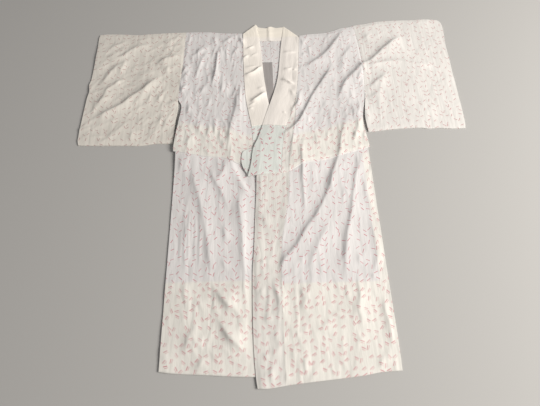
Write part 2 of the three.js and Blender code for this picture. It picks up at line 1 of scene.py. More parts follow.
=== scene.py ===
import math
import bpy
import numpy as np
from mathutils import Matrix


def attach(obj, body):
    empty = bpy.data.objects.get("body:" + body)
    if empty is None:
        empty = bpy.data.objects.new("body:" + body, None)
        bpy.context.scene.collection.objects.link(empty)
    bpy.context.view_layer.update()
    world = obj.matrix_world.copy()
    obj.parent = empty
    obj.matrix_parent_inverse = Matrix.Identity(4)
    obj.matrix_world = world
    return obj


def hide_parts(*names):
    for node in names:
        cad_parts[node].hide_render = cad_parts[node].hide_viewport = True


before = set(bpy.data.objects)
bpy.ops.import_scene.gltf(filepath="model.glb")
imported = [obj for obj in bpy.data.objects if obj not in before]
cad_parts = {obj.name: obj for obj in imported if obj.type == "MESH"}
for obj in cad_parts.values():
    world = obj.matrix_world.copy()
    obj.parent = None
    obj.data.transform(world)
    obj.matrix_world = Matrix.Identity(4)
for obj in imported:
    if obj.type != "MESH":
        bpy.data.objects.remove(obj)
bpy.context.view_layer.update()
print("frame loaded")

# Shapes are worked out in millimetres and made in metres.
mm = 0.001
cloth = {"wall": 0.7, "cadWall": 1.0, "layer": 1.5, "seamGap": 0.1, "settle": 100, "rollSteps": 5,
         "edgeShare": 0.2}


def curve(rows):
    key, value = np.array(rows, float).T
    slope = np.empty_like(value)
    slope[1:-1] = (value[2:] - value[:-2]) / (key[2:] - key[:-2])
    slope[0] = (value[1] - value[0]) / (key[1] - key[0])
    slope[-1] = (value[-1] - value[-2]) / (key[-1] - key[-2])

    def at(place):
        p = np.clip(place, key[0], key[-1])
        i = np.clip(np.searchsorted(key, p) - 1, 0, len(key) - 2)
        span = key[i + 1] - key[i]
        u = (p - key[i]) / span
        return ((2 * u**3 - 3 * u**2 + 1) * value[i] + (u**3 - 2 * u**2 + u) * span * slope[i]
                + (3 * u**2 - 2 * u**3) * value[i + 1] + (u**3 - u**2) * span * slope[i + 1])
    return at


def rise(low, high, value):
    u = np.clip((np.asarray(value, float) - low) / (high - low), 0, 1)
    return u * u * (3 - 2 * u)


def fall(low, high, value):
    return 1 - rise(low, high, value)


def mix(a, b, u):
    return a + (b - a) * u


shoulder = curve([
    (-634, 577), (-626, 580), (-597, 583), (-539, 581), (-479, 576), (-451, 579), (-392, 582),
    (-304, 584), (-216, 582), (-187, 577), (-98, 571), (0, 560), (101, 555), (136, 561),
    (196, 566), (226, 574), (257, 587), (287, 592), (318, 602), (348, 606), (379, 614),
    (410, 618), (470, 621), (530, 621), (561, 624), (591, 623), (620, 618), (634, 611)])
sleeveBottom = curve([
    (-634, 106), (-611, 104), (-560, 102), (-484, 100), (-433, 98), (-382, 104), (-331, 103),
    (315, 130), (341, 133), (395, 138), (474, 140), (499, 136), (526, 138), (577, 134),
    (624, 135)])
hem = {
    "right": curve([(-319, -577), (-285, -582), (-204, -588), (-104, -595), (76, -600)]),
    "left": curve([(-70, -624), (-44, -624), (-24, -622), (16, -617), (96, -610), (157, -605),
                   (198, -601), (239, -595), (298, -592)])}
foldLine = {
    "right": curve([(-324, 73), (-227, 51), (-161, 42), (-110, 19), (-46, 7), (76, 0)]),
    "left": curve([(-90, -26), (-63, -26), (-10, -19), (42, -8), (83, 15), (153, 28),
                   (202, 42), (251, 56), (298, 71)])}
skirtSide = {
    "right": curve([(-578, -319), (-330, -318), (0, -316), (73, -317)]),
    "left": curve([(-592, 296), (-500, 297), (-350, 295), (71, 293)])}
bodiceSide = {
    "right": curve([(73, -324), (88, -324), (118, -322), (148, -318), (180, -314), (250, -309),
                    (280, -321), (432, -314), (585, -310)]),
    "left": curve([(71, 298), (118, 292), (148, 289), (180, 290), (206, 294), (280, 309),
                   (440, 316), (596, 307)])}
sleeveFreeEdge = {
    "right": curve([(103, -327), (164, -325), (254, -320), (285, -322)]),
    "left": curve([(130, 303), (162, 300), (194, 299), (285, 311)])}
sleeveOuterEdge = {
    "right": curve([(104, -629), (127, -634), (287, -629), (321, -625), (348, -630),
                    (372, -626), (502, -624), (560, -626), (580, -624)]),
    "left": curve([(133, 620), (161, 624), (287, 626), (427, 628), (502, 629), (557, 634),
                   (600, 633), (616, 628)])}
leftFrontEdge = curve([(-624, -70), (-596, -74), (-506, -79), (-333, -79), (-261, -74),
                       (-136, -68), (-87, -65), (-27, -63)])
leftBandSeam = curve([(-612, -1), (-336, 0), (-293, 2), (-233, 7), (-171, 19), (-106, 31),
                      (-56, 36), (-3, 38), (51, 44), (99, 52), (137, 61), (180, 67),
                      (230, 73), (266, 78)])
coverEdge = curve([(-624, -84), (-80, -72), (-30, -96), (10, -110), (60, -110), (100, -84),
                   (244, -84)])
collarEdge = {
    "right": {
        "outer": curve([(0, -52), (73, -69), (161, -76), (209, -84), (271, -93), (336, -98),
                        (448, -101), (569, -102)]),
        "inner": curve([(0, 45), (100, 26), (180, 3), (244, -15), (299, -23), (378, -31),
                        (494, -38), (542, -44), (615, -54)])},
    "left": {
        "outer": curve([(-13, 13), (60, 20), (120, 28), (170, 42), (230, 62), (300, 79),
                        (397, 90), (489, 97), (548, 101)]),
        "inner": curve([(-26, -90), (18, -79), (73, -71), (110, -56), (152, -43), (195, -31),
                        (244, -15), (302, 3), (354, 16), (444, 27), (515, 35), (603, 48)])}}
collarEnds = {  # y of the outer and the inner edge
    "right": {"lower": (8, 3), "peak": (569, 615)},
    "left": {"lower": (-13, -26), "peak": (548, 603)}}


back = {"fold": 72, "seam": -3, "inset": 2, "tuck": 100, "turn": 4, "tuckedIn": 5, "top": 536,
        "hem": -572, "chestRows": 30, "tuckRows": 9, "skirtRows": 40, "belowFold": 8}
under = {"bandSeam": 5, "edge": 76, "edgeInTuck": 46, "reach": (8, 20), "slope": (60, 75),
         "loosens": (-60, 20), "pressed": 0.58, "pressedWidth": 12, "turnUpDrop": 1.1}
rising = {"low": 160, "high": 240, "margin": 45, "layer": 0.55, "settled": 0.45,
          "creamFrom": (118, 148)}
tuck = back["tuck"]


def backBed(y):
    return 1 + 2 * (rise(back["fold"] - cloth["settle"], back["fold"] - back["turn"], y)
                    * fall(back["fold"] + tuck + back["turn"],
                           back["fold"] + tuck + cloth["settle"], y))


def tuckBed(fold, y):
    return 2 * (rise(fold - cloth["settle"], fold - back["turn"], y)
                * fall(fold + tuck + back["turn"],
                       fold + tuck + cloth["settle"] + back["turn"], y))


def collarRaise(y):
    return rising["layer"] * rise(rising["low"], rising["high"], y)


def besideCollar(distance):
    return fall(0, rising["margin"], np.abs(distance))


def hiddenEdge(y):
    y = np.asarray(y, float)
    inTuck = mix(under["edge"], under["edgeInTuck"], np.clip(y / tuck, 0, 1))
    return np.where(y < tuck, inTuck,
                    np.minimum(under["edgeInTuck"], collarEdge["right"]["inner"](y)))


def rightBed(x, y):
    loose = rise(*under["loosens"], y)
    limit = hiddenEdge(y) + mix(*under["reach"], loose)
    covered = fall(limit, limit + mix(*under["slope"], loose), x)
    creamRoom = rising["layer"] * rise(*rising["creamFrom"], y)
    one = 1 - rising["settled"] * rise(rising["low"], rising["high"], y)
    return backBed(y) + covered * (one + tuckBed(foldLine["right"](x), y) + creamRoom
                                   + collarRaise(y))


def outOfTuck(fold, y):
    return 2 * fall(fold + tuck, fold + tuck + cloth["settle"], y)


def pressed(fold, y):
    return under["pressed"] * fall(0, under["pressedWidth"], y - fold)


def rightTop(x, y):
    fold = foldLine["right"](x)
    return backBed(y) + outOfTuck(fold, y) - 2 * pressed(fold, y)


def leftTop(x, y):
    fold = foldLine["left"](x)
    return rightBed(x, y) + outOfTuck(fold, y) - 2 * pressed(fold, y)


crest = {"step": 5.0, "shift": 0.6, "sharpness": 1.25, "reach": 3, "ending": 45, "widening": 2.6,
         "longest": 75, "collarEnding": 22, "foot": 0.35, "shortFoot": 0.14, "footReach": 3,
         "footRound": 1.6}
reliefMap = {"left": -660, "bottom": -650, "step": 1.5, "columns": 881, "rows": 868}
clothMap = np.zeros((reliefMap["rows"], reliefMap["columns"]))
collarMap = np.zeros_like(clothMap)


def smoothLine(points):
    # a rounded line through the points, cut into even steps
    pts = np.array(points, float)
    if len(pts) > 2:
        ends = np.vstack([2 * pts[0] - pts[1], pts, 2 * pts[-1] - pts[-2]])
        pieces = []
        for i in range(len(pts) - 1):
            p0, p1, p2, p3 = ends[i:i + 4]
            u = np.linspace(0, 1, 9)[:-1, None]
            pieces.append(0.5 * (2 * p1 + (p2 - p0) * u + (2 * p0 - 5 * p1 + 4 * p2 - p3) * u**2
                                 + (3 * p1 - p0 - 3 * p2 + p3) * u**3))
        pts = np.vstack(pieces + [pts[-1:]])
    run = np.concatenate([[0], np.cumsum(np.hypot(*np.diff(pts, axis=0).T))])
    count = max(int(run[-1] / crest["step"]), 2)
    at = np.linspace(0, run[-1], count + 1)
    return np.stack([np.interp(at, run, pts[:, 0]), np.interp(at, run, pts[:, 1])], 1)


def addCrease(onMap, height, dark, lit, points, shift, ending=crest["ending"], foot=0.0):
    # A ridge with its steep flank on the line, on the side away from the light. Its foot there
    # can run on as a long low slope.
    line = smoothLine(points)
    if line[-1, 1] > line[0, 1]:
        line = line[::-1]
    length = float(np.hypot(*np.diff(line, axis=0).T).sum())
    taper = min(ending / length, 0.5)
    reach = crest["reach"] * max(lit, (2 if foot > 0 else 1) * dark) + shift
    step, left, bottom = reliefMap["step"], reliefMap["left"], reliefMap["bottom"]
    c0 = max(int((line[:, 0].min() - reach - left) / step), 0)
    c1 = min(int((line[:, 0].max() + reach - left) / step) + 2, reliefMap["columns"])
    r0 = max(int((line[:, 1].min() - reach - bottom) / step), 0)
    r1 = min(int((line[:, 1].max() + reach - bottom) / step) + 2, reliefMap["rows"])
    x, y = np.meshgrid(left + step * np.arange(c0, c1), bottom + step * np.arange(r0, r1))
    best = np.full(x.shape, np.inf)
    side = np.zeros(x.shape)
    along = np.zeros(x.shape)
    for i in range(len(line) - 1):
        d = line[i + 1] - line[i]
        ox, oy = x - line[i, 0], y - line[i, 1]
        share = np.clip((ox * d[0] + oy * d[1]) / (d @ d), 0, 1)
        dx, dy = ox - share * d[0], oy - share * d[1]
        distance = np.hypot(dx, dy)
        near = distance < best
        best[near] = distance[near]
        side[near] = np.sign(d[0] * dy - d[1] * dx)[near]
        along[near] = ((i + share) / (len(line) - 1))[near]
    s = side * best
    ends = rise(0, taper, along) * fall(1 - taper, 1, along)
    fromCrest = s - crest["shift"] * shift
    far = np.abs(fromCrest) / np.where(fromCrest < 0, dark, lit)
    low = np.where(fromCrest < 0, foot, 0)
    onMap[r0:r1, c0:c1] += ends * height * (
        (1 - low) * np.exp(-far**crest["sharpness"])
        + low * np.exp(-(far / crest["footReach"])**crest["footRound"]))


def blurred(m, passes):
    for _ in range(passes):
        m = (np.roll(m, 1, 0) + 2 * m + np.roll(m, -1, 0)) / 4
        m = (np.roll(m, 1, 1) + 2 * m + np.roll(m, -1, 1)) / 4
    return m


def sample(onMap, x, y):
    fx = np.clip((x - reliefMap["left"]) / reliefMap["step"], 0, reliefMap["columns"] - 1.001)
    fy = np.clip((y - reliefMap["bottom"]) / reliefMap["step"], 0, reliefMap["rows"] - 1.001)
    i, j = fx.astype(int), fy.astype(int)
    u, v = fx - i, fy - j
    return ((1 - u) * (1 - v) * onMap[j, i] + u * (1 - v) * onMap[j, i + 1]
            + (1 - u) * v * onMap[j + 1, i] + u * v * onMap[j + 1, i + 1])


# Each crease: height, width of its dark flank, width of its lit flank, how far its crest is from
# its line, and that line.
sleeveCreases = [
    (4.2, 3.6, 12, 5, [(-516, 555), (-541, 538), (-566, 523), (-594, 508)]),
    (6.6, 6.8, 20, 8, [(-426, 534), (-466, 524), (-498, 509), (-519, 488), (-540, 473), (-570, 477),
     (-606, 473)]),
    (3.2, 5.6, 8, 0, [(-354, 557), (-369, 535), (-389, 522)]),
    (6.4, 5.4, 18, 7, [(-313, 488), (-345, 472), (-374, 462), (-399, 443), (-410, 418)]),
    (2.6, 4.8, 12, 5, [(-344, 503), (-356, 490), (-368, 468)]),
    (5.2, 5.6, 20, 7, [(-513, 464), (-527, 443), (-545, 431), (-564, 406), (-577, 381),
     (-595, 349), (-617, 344)]),
    (3.8, 8, 10, 0, [(-506, 468), (-517, 443), (-524, 422), (-529, 397), (-531, 368)]),
    (4.7, 5.6, 18, 7, [(-502, 367), (-530, 364), (-544, 348), (-567, 328), (-578, 293), (-593, 266),
     (-612, 240)]),
    (3.2, 4.8, 18, 6, [(-533, 305), (-562, 293), (-583, 282), (-598, 259)]),
    (8.4, 6.4, 22, 9, [(-388, 388), (-406, 372), (-421, 352), (-441, 329), (-464, 309), (-487, 290),
     (-509, 264), (-543, 242), (-572, 224), (-606, 206)]),
    (3.8, 5.6, 7, 0, [(-365, 429), (-367, 413), (-369, 388)]),
    (4.3, 5.6, 20, 7, [(-339, 232), (-353, 206), (-363, 177), (-375, 141)]),
    (3.2, 12.8, 8, 0, [(-352, 244), (-370, 199), (-385, 159), (-400, 124)]),
    (3.2, 6.4, 10, 6, [(-458, 165), (-467, 136), (-470, 108)]),
    (3.2, 5.6, 10, 5, [(-385, 307), (-388, 283), (-384, 260)]),
    (3.8, 4.8, 14, 6, [(-321, 289), (-335, 268), (-360, 267)]),
]
frontCreases = [
    # right chest
    (5.8, 4.2, 9, 5, [(-189, 508), (-195, 479), (-198, 437), (-201, 396), (-207, 361),
     (-213, 326)]),
    (3.8, 6.4, 9, 5, [(-209, 577), (-207, 532), (-189, 503)]),
    (4.0, 11, 12, 5, [(-225, 499), (-238, 476), (-248, 453), (-254, 435), (-263, 398), (-269, 363),
     (-271, 341)]),
    (3.8, 4.8, 10, 5, [(-222, 521), (-250, 495), (-274, 477), (-301, 455)]),
    (4.3, 5.6, 10, 6, [(-131, 569), (-150, 550), (-168, 536), (-185, 517)]),
    (3.8, 4.8, 9, 5, [(-113, 510), (-128, 496), (-138, 478), (-149, 454)]),
    (3.8, 4, 10, 4, [(-111, 564), (-117, 544), (-104, 520), (-102, 496)]),
    (3.8, 4.8, 10, 5, [(-179, 351), (-177, 325), (-184, 291)]),
    (4.7, 4.8, 10, 6, [(-237, 340), (-246, 310), (-256, 289)]),
    (5.6, 7.6, 30, 8, [(-118, 341), (-127, 289), (-130, 247), (-137, 211), (-146, 171),
     (-152, 132), (-153, 94), (-151, 57)]),
    (3.8, 4.4, 7, 0, [(-112, 349), (-113, 293), (-112, 230), (-107, 190)]),
    (2.8, 4, 10, 5, [(-103, 336), (-103, 272), (-101, 190), (-97, 150)]),
    (2.4, 3.8, 9, 4, [(-252, 202), (-254, 170), (-258, 143)]),
    (2.6, 3.8, 9, 4, [(-238, 190), (-247, 155), (-249, 120)]),
    (2.8, 4.4, 9, 5, [(-173, 118), (-168, 91), (-163, 65)]),
    (2.6, 3.8, 9, 4, [(-215, 169), (-219, 142), (-222, 104)]),
    (2.4, 3.8, 9, 4, [(-192, 184), (-196, 153), (-197, 114)]),
    (3, 6, 13, 5, [(-266, 140), (-277, 117), (-295, 85)]),
    (4.7, 4.8, 9, 5, [(-302, 434), (-309, 409), (-320, 382)]),
    (4.7, 5.6, 9, 5, [(-290, 346), (-307, 329), (-314, 303)]),
    (3.8, 4.8, 9, 5, [(-236, 524), (-257, 500), (-282, 487)]),
    (3.8, 4.8, 10, 5, [(-282, 269), (-287, 236), (-292, 203)]),
    # right skirt
    (6.8, 9, 26, 9, [(-153, 48), (-143, 21), (-133, -1), (-120, -34), (-104, -63), (-89, -85),
     (-73, -106), (-66, -127)]),
    (4.9, 8.8, 25, 8, [(-164, 48), (-167, 3), (-181, -25), (-189, -54)]),
    (4.6, 8, 22, 7, [(-211, 20), (-200, -25), (-177, -68), (-160, -110), (-151, -138)]),
    (5.4, 12.9, 25, 8, [(-133, -66), (-123, -105), (-118, -142), (-114, -185), (-111, -224),
     (-108, -271), (-104, -316), (-100, -355)]),
    (5.9, 12.9, 34, 9, [(-266, 25), (-260, -26), (-245, -80), (-234, -122), (-226, -162),
     (-219, -198), (-212, -233), (-208, -268), (-201, -298), (-197, -337)]),
    (2.6, 6, 22, 6, [(-181, -170), (-168, -190), (-156, -223), (-143, -251)]),
    (2.7, 4.9, 14, 6, [(-169, -278), (-163, -299), (-151, -327)]),
    (3.2, 4.9, 14, 6, [(-300, 60), (-301, 22), (-301, -14)]),
    (1.9, 2.8, 6, 3, [(-277, -127), (-274, -187), (-273, -250), (-268, -323)]),
    (1.9, 2.8, 6, 3, [(-267, -124), (-265, -187), (-262, -251), (-260, -311)]),
    (2, 2.8, 7, 3, [(-247, -135), (-244, -194), (-244, -251), (-242, -306)]),
    (2, 2.8, 7, 3, [(-235, -142), (-231, -195), (-231, -239), (-229, -312)]),
    (1.6, 2.8, 6, 3, [(-258, -128), (-255, -187), (-253, -251)]),
    (9.2, 8.4, 36, 9, [(-207, -361), (-187, -371), (-177, -386), (-162, -404), (-148, -419),
     (-133, -431), (-119, -441), (-104, -451)]),
    (9, 9, 39, 10, [(-186, -444), (-171, -463), (-159, -482), (-147, -500), (-132, -514),
     (-118, -526), (-102, -542), (-91, -557)]),
    (4, 7, 14, 6, [(-106, -334), (-103, -369), (-100, -406), (-99, -442), (-97, -477),
     (-93, -500)]),
    (4.5, 8.8, 25, 7, [(-238, -452), (-237, -470), (-248, -488), (-254, -506), (-258, -524),
     (-254, -541), (-249, -559)]),
    (2.7, 4.9, 14, 6, [(-245, -500), (-230, -513), (-216, -523), (-209, -530)]),
    (3.7, 5.6, 22, 6, [(-206, -538), (-213, -551), (-221, -564), (-228, -577)]),
    (2.2, 4.2, 12, 5, [(-268, -344), (-268, -376), (-269, -401)]),
    (2.7, 4.9, 14, 5, [(-234, -385), (-230, -402), (-220, -419), (-210, -438)]),
    (2.7, 5.6, 14, 5, [(-88, -533), (-96, -559), (-97, -576)]),
    # left band
    (3.7, 5.6, 22, 7, [(-59, -141), (-47, -168), (-36, -210)]),
    (4.5, 7.8, 25, 8, [(-30, -359), (-16, -394), (-12, -421), (-16, -458), (-20, -491)]),
    (2.5, 3.5, 10, 4, [(-40, -371), (-38, -396), (-41, -420), (-44, -448), (-50, -467)]),
    (2.5, 4.2, 12, 5, [(-50, -366), (-60, -380), (-65, -400)]),
    (2.7, 3.5, 10, 4, [(-58, -539), (-47, -554), (-43, -563)]),
    (3.2, 4.2, 12, 5, [(-38, -565), (-39, -589), (-39, -618)]),
    (2.2, 4.2, 10, 4, [(-30, -520), (-30, -546), (-36, -563)]),
    (2.7, 3.5, 14, 5, [(35, -326), (13, -340), (-11, -345), (-34, -349)]),
    (2.7, 4.2, 12, 5, [(-43, -437), (-46, -454), (-48, -470)]),
    (2.2, 3.5, 10, 4, [(-55, -288), (-47, -312)]),
    # left chest and sleeve
    (7.1, 7.8, 36, 8, [(265, 588), (241, 543), (219, 512), (198, 482), (177, 458), (152, 437),
     (123, 417), (90, 397)]),
    (4.5, 8.8, 31, 8, [(296, 522), (273, 485), (246, 449), (216, 420)]),
    (3.3, 8.8, 25, 7, [(364, 569), (347, 546), (325, 528)]),
    (5.4, 3.9, 31, 5, [(210, 432), (195, 391), (178, 362), (158, 329), (137, 296), (122, 268),
     (107, 236), (91, 200), (72, 169), (52, 148), (28, 129), (2, 112)]),
    (8.1, 8.8, 39, 9, [(490, 545), (449, 530), (422, 506), (395, 482), (367, 452), (341, 428),
     (317, 417), (295, 394), (269, 365), (249, 343), (233, 315), (220, 282), (200, 250)]),
    (6.2, 9, 34, 8, [(403, 379), (377, 356), (351, 334), (325, 307), (310, 290)]),
    (5.5, 14, 12, 0, [(566, 395), (504, 408), (442, 422), (366, 410), (326, 399)]),
    (2.2, 7, 22, 5, [(397, 397), (369, 328), (353, 267), (350, 192)]),
    (2.7, 4.2, 12, 5, [(130, 515), (132, 471), (139, 441)]),
    (3.9, 7.8, 25, 7, [(312, 268), (340, 278), (360, 300)]),
    (3.3, 7.8, 25, 6, [(299, 236), (302, 193), (305, 152)]),
    (3.2, 4.2, 12, 5, [(314, 399), (296, 359), (284, 319)]),
    (3.2, 4.2, 12, 5, [(256, 248), (260, 205), (256, 163)]),
    (2.2, 4.9, 22, 6, [(292, 269), (280, 220), (269, 168), (256, 113), (245, 83)]),
    (3.2, 4.2, 10, 5, [(296, 142), (284, 117), (278, 82)]),
    # left skirt
    (5.6, 7, 46, 7, [(245, 189), (228, 167), (216, 140), (204, 97), (196, 54), (183, 17),
     (167, -27), (155, -63), (138, -101), (121, -134), (106, -160), (83, -188), (65, -216),
     (47, -247), (26, -271), (8, -292), (-2, -318), (-8, -350)]),
    (4.8, 6.7, 31, 6, [(275, 58), (259, 19), (242, -22), (232, -61), (222, -100), (215, -137),
     (206, -174), (195, -210), (188, -245), (180, -279), (165, -308), (157, -328)]),
    (2.2, 2.8, 8, 4, [(254, 46), (246, -1)]),
    (2.5, 3.5, 9, 3, [(80, 92), (79, 16), (77, -45), (77, -103), (77, -155)]),
    (1.7, 4.2, 12, 4, [(139, 47), (136, 2), (137, -26)]),
    (1.6, 3.2, 10, 4, [(65, 136), (53, 101), (48, 59), (38, 17)]),
    (4.5, 11.8, 31, 8, [(145, -168), (132, -204), (113, -235), (97, -269), (79, -306), (61, -335)]),
    (1.7, 3.5, 10, 4, [(201, -68), (212, -111)]),
    (2.7, 7.4, 36, 6, [(273, -147), (268, -183), (270, -219), (272, -254), (272, -281), (265, -305),
     (257, -331), (249, -353)]),
    (2.2, 4.9, 14, 5, [(61, -275), (57, -298), (59, -315)]),
    (2.2, 4.9, 14, 5, [(221, -270), (218, -297), (217, -320)]),
    (2.2, 4.2, 12, 5, [(124, 134), (128, 95), (137, 64)]),
    (3.2, 4.2, 10, 5, [(262, 139), (255, 113), (267, 90)]),
    (3.7, 4.2, 14, 5, [(-28, -351), (-18, -381), (-13, -398), (-15, -418)]),
    (3.2, 3.5, 12, 5, [(48, -374), (54, -395), (61, -409)]),
    (2.8, 7, 26, 7, [(77, -363), (66, -389), (59, -406), (46, -429), (37, -445)]),
    (2.2, 4.2, 12, 5, [(32, -487), (36, -506)]),
    (2.7, 4.2, 8, 4, [(48, -538), (49, -569), (50, -606)]),
    (2.6, 6.5, 26, 7, [(126, -437), (127, -454), (109, -470), (93, -486), (89, -507)]),
    (3.4, 6.4, 22, 7, [(198, -331), (205, -346), (207, -367), (208, -388), (207, -408),
     (199, -436), (204, -459), (203, -484), (199, -500)]),
    (2.2, 4.2, 12, 5, [(174, -363), (174, -392), (174, -416)]),
    (3.2, 4.9, 14, 6, [(254, -335), (248, -356)]),
    (3.7, 7, 12, 7, [(273, -390), (272, -419), (271, -447), (276, -469), (277, -502),
     (276, -529), (270, -544)]),
    (3.2, 5.6, 14, 6, [(262, -544), (243, -567), (240, -584), (244, -595)]),
    (2.2, 4.2, 10, 4, [(2, -580), (0, -617)]),
    (1.9, 3.5, 10, 4, [(19, -521), (20, -547), (22, -568)]),
    (2.2, 4.2, 12, 5, [(195, -505), (201, -526)]),
    (2.2, 5.6, 14, 5, [(143, -437), (136, -454)]),
    (2.5, 4.2, 12, 5, [(-21, -471), (-22, -493), (-25, -520)]),
    # under the arms
    (2.9, 2.6, 7, 3, [(300, 428), (311, 411), (318, 387), (318, 367)]),
    (2.7, 3.5, 9, 3, [(-286, 410), (-298, 390), (-319, 361)]),
    (2.2, 2.6, 6, 2, [(-321, 374), (-320, 350), (-317, 329)]),
    # beside the collar
    (4, 3.5, 14, 5, [(104, 311), (87, 295), (82, 272), (77, 249), (63, 233), (55, 211), (48, 179)]),
    (2.7, 3.5, 10, 4, [(107, 547), (110, 520), (113, 501)]),
    (2.7, 3.5, 10, 4, [(114, 475), (107, 456)]),
    (2.2, 3.5, 10, 4, [(110, 420), (98, 406), (93, 388)]),
    (2.7, 2.8, 8, 4, [(-114, 554), (-110, 530), (-104, 515)]),
    (2.7, 2.8, 8, 4, [(-107, 470), (-106, 444), (-111, 423)]),
]
relief = {"blur": 1, "loose": 1.3, "waves": 0.9, "waveCells": 24, "waveBlur": 90,
          "belowShoulder": (-12, -2), "coveredFrom": 38, "coveredTo": 2, "covers": (254, 334)}
for group, foot in ((sleeveCreases, crest["foot"]), (frontCreases, crest["shortFoot"])):
    for height, dark, lit, shift, points in group:
        addCrease(clothMap, height, dark, lit, points, shift,
                  min(max(crest["ending"], crest["widening"] * lit), crest["longest"]), foot)

# Seams are narrow grooves: depth, half width, line.
seams = [
    (1.6, 3.2, [(float(bodiceSide["right"](y)), y) for y in range(290, 585, 30)]),
    (1.2, 3.0, [(float(bodiceSide["left"](y)), y) for y in range(290, 596, 30)]),
]
for depth, half, points in seams:
    addCrease(clothMap, -depth, half, half, points, 0)
addCrease(clothMap, 1.0, 2.2, 10, [(float(leftBandSeam(y)), y) for y in range(-612, 260, 40)], 2)

# Small crinkles lie between them, at random in each stretch of cloth: left, right, bottom, top,
# number, angle from upright, spread, length, height, width.
crinkle = {"seed": 612, "half": (0.3, 0.7), "bow": 0.06, "height": (0.4, 1.2), "dark": (0.7, 1.2),
           "lit": (1.2, 2.4)}
crinkles = [
    (-312, -120, 180, 560, 100, -6, 14, 80, 1.15, 2.8),
    (-318, -130, 55, 190, 60, -8, 18, 70, 1.2, 3),
    (-318, -140, -340, 60, 60, 2, 5, 170, 0.6, 4),
    (60, 300, 180, 570, 70, 14, 16, 90, 1.1, 5),
    (60, 300, 60, 220, 50, 8, 14, 70, 1.0, 3),
    (60, 290, -340, 50, 60, 10, 10, 140, 0.9, 6),
    (-620, -330, 120, 560, 110, 42, 20, 100, 1.4, 4.2),
    (330, 620, 150, 600, 46, 30, 26, 90, 0.6, 5),
    (-315, -90, -585, -330, 44, -18, 24, 80, 0.9, 4.5),
    (-60, 290, -600, -330, 60, 6, 18, 80, 0.9, 4.5),
    (-70, 40, -600, 100, 50, 4, 14, 90, 0.8, 3.5),
    (-308, -115, 260, 560, 60, -4, 9, 60, 1.0, 2.6),
]
rng = np.random.default_rng(crinkle["seed"])
for left, right, bottom, top, number, angle, spread, length, height, width in crinkles:
    for _ in range(number):
        cx, cy = rng.uniform(left, right), rng.uniform(bottom, top)
        turn = math.radians(angle + rng.normal(0, spread))
        half = length * rng.uniform(*crinkle["half"])
        bow = rng.normal(0, length * crinkle["bow"])
        ax, ay = math.sin(turn) * half, math.cos(turn) * half
        line = [(cx + ax, cy + ay), (cx + bow, cy), (cx - ax, cy - ay)]
        addCrease(clothMap, height * rng.uniform(*crinkle["height"]),
                  width * rng.uniform(*crinkle["dark"]), width * rng.uniform(*crinkle["lit"]),
                  line, shift=0, ending=half)

# Creases of the collar alone
collarCreases = [
    # right side
    (4.8, 3.1, 7, 2.8, [(-63, 514), (-74, 503), (-97, 494)]),
    (4.2, 3.1, 7, 2.8, [(-80, 469), (-95, 459), (-104, 450)]),
    (2.4, 3.8, 8, 2.8, [(-47, 478), (-66, 467), (-81, 455)]),
    (3.2, 3.1, 7, 2.8, [(-48, 417), (-67, 414), (-98, 413)]),
    (7, 3.8, 10, 3.5, [(-35, 419), (-51, 403), (-70, 386), (-101, 376)]),
    (2.4, 3.8, 8, 2.8, [(-31, 326), (-44, 319), (-58, 313)]),
    (7.8, 5.7, 11, 4.9, [(-24, 305), (-45, 286), (-61, 273), (-83, 259)]),
    (3.2, 2.5, 5, 2.1, [(-61, 256), (-77, 249), (-88, 244)]),
    (2.7, 2.5, 5, 2.1, [(-68, 237), (-78, 234), (-87, 231)]),
    # left side
    (3.8, 2.5, 6, 2.8, [(90, 472), (66, 472), (38, 475)]),
    (4.2, 3.1, 6, 2.8, [(71, 410), (59, 400), (35, 402)]),
    (3, 2.5, 5, 2.1, [(85, 390), (67, 394)]),
    (6.4, 3.1, 8, 3.5, [(24, 350), (43, 344), (59, 332), (77, 324)]),
    (2.4, 3.1, 6, 2.8, [(37, 215), (27, 210)]),
    (3, 5, 9, 3.5, [(55, 313), (64, 286), (69, 272)]),
]
for height, dark, lit, shift, points in collarCreases:
    addCrease(collarMap, height, dark, lit, points, shift, ending=crest["collarEnding"])

# The cloth is also loose: it stands a little off what is under it, in broad low waves.
waveAt = np.arange(relief["waveCells"])
waves = rng.normal(0, 1, (len(waveAt), len(waveAt)))
gx = np.linspace(0, waveAt[-1], reliefMap["columns"])
gy = np.linspace(0, waveAt[-1], reliefMap["rows"])
broad = np.array([np.interp(gx, waveAt, wave) for wave in waves])
broad = np.array([np.interp(gy, waveAt, broad[:, c]) for c in range(len(gx))]).T
clothMap = (blurred(clothMap, relief["blur"]) + relief["loose"]
            + relief["waves"] * blurred(broad, relief["waveBlur"]))
clothMap = np.where(clothMap > 0, clothMap, 0)
print("creases laid")


def belowShoulder(x, y):
    return fall(*relief["belowShoulder"], y - shoulder(x))


def lift(x, y):
    return sample(clothMap, x, y) * belowShoulder(x, y)


def rightLift(x, y):
    # nothing lifts where the left front lies on it
    covered = (rise(coverEdge(y) - relief["coveredFrom"], coverEdge(y) - relief["coveredTo"], x)
               * fall(*relief["covers"], y))
    return lift(x, y) * (1 - covered)


def flat(x, y):
    return np.zeros_like(np.asarray(x, float))


def crossing(edge, line):
    y = line(0.0)
    for _ in range(8):
        y = line(edge(y))
    return float(edge(y)), float(y)


def row(facing, outer, inner, level, columns, raised=flat, line=None):
    # one row of a piece's middle, from its outer to its inner edge: level counts the layers
    # under it, and raised is its own lift
    u = edged(columns)
    x = mix(outer[0], inner[0], u)
    y = line(x) if line else mix(outer[1], inner[1], u)
    z = level(x, y) * cloth["layer"] + cloth["cadWall"] / 2 + raised(x, y)
    return {"points": np.stack([x, y + 0 * x, z + 0 * x], 1), "facing": facing,
            "out": np.array([0, 0, facing], float)}


def rowOnLine(facing, line, outer, inner, level, columns, raised=flat):
    return row(facing, crossing(outer, line), crossing(inner, line), level, columns, raised,
               line)


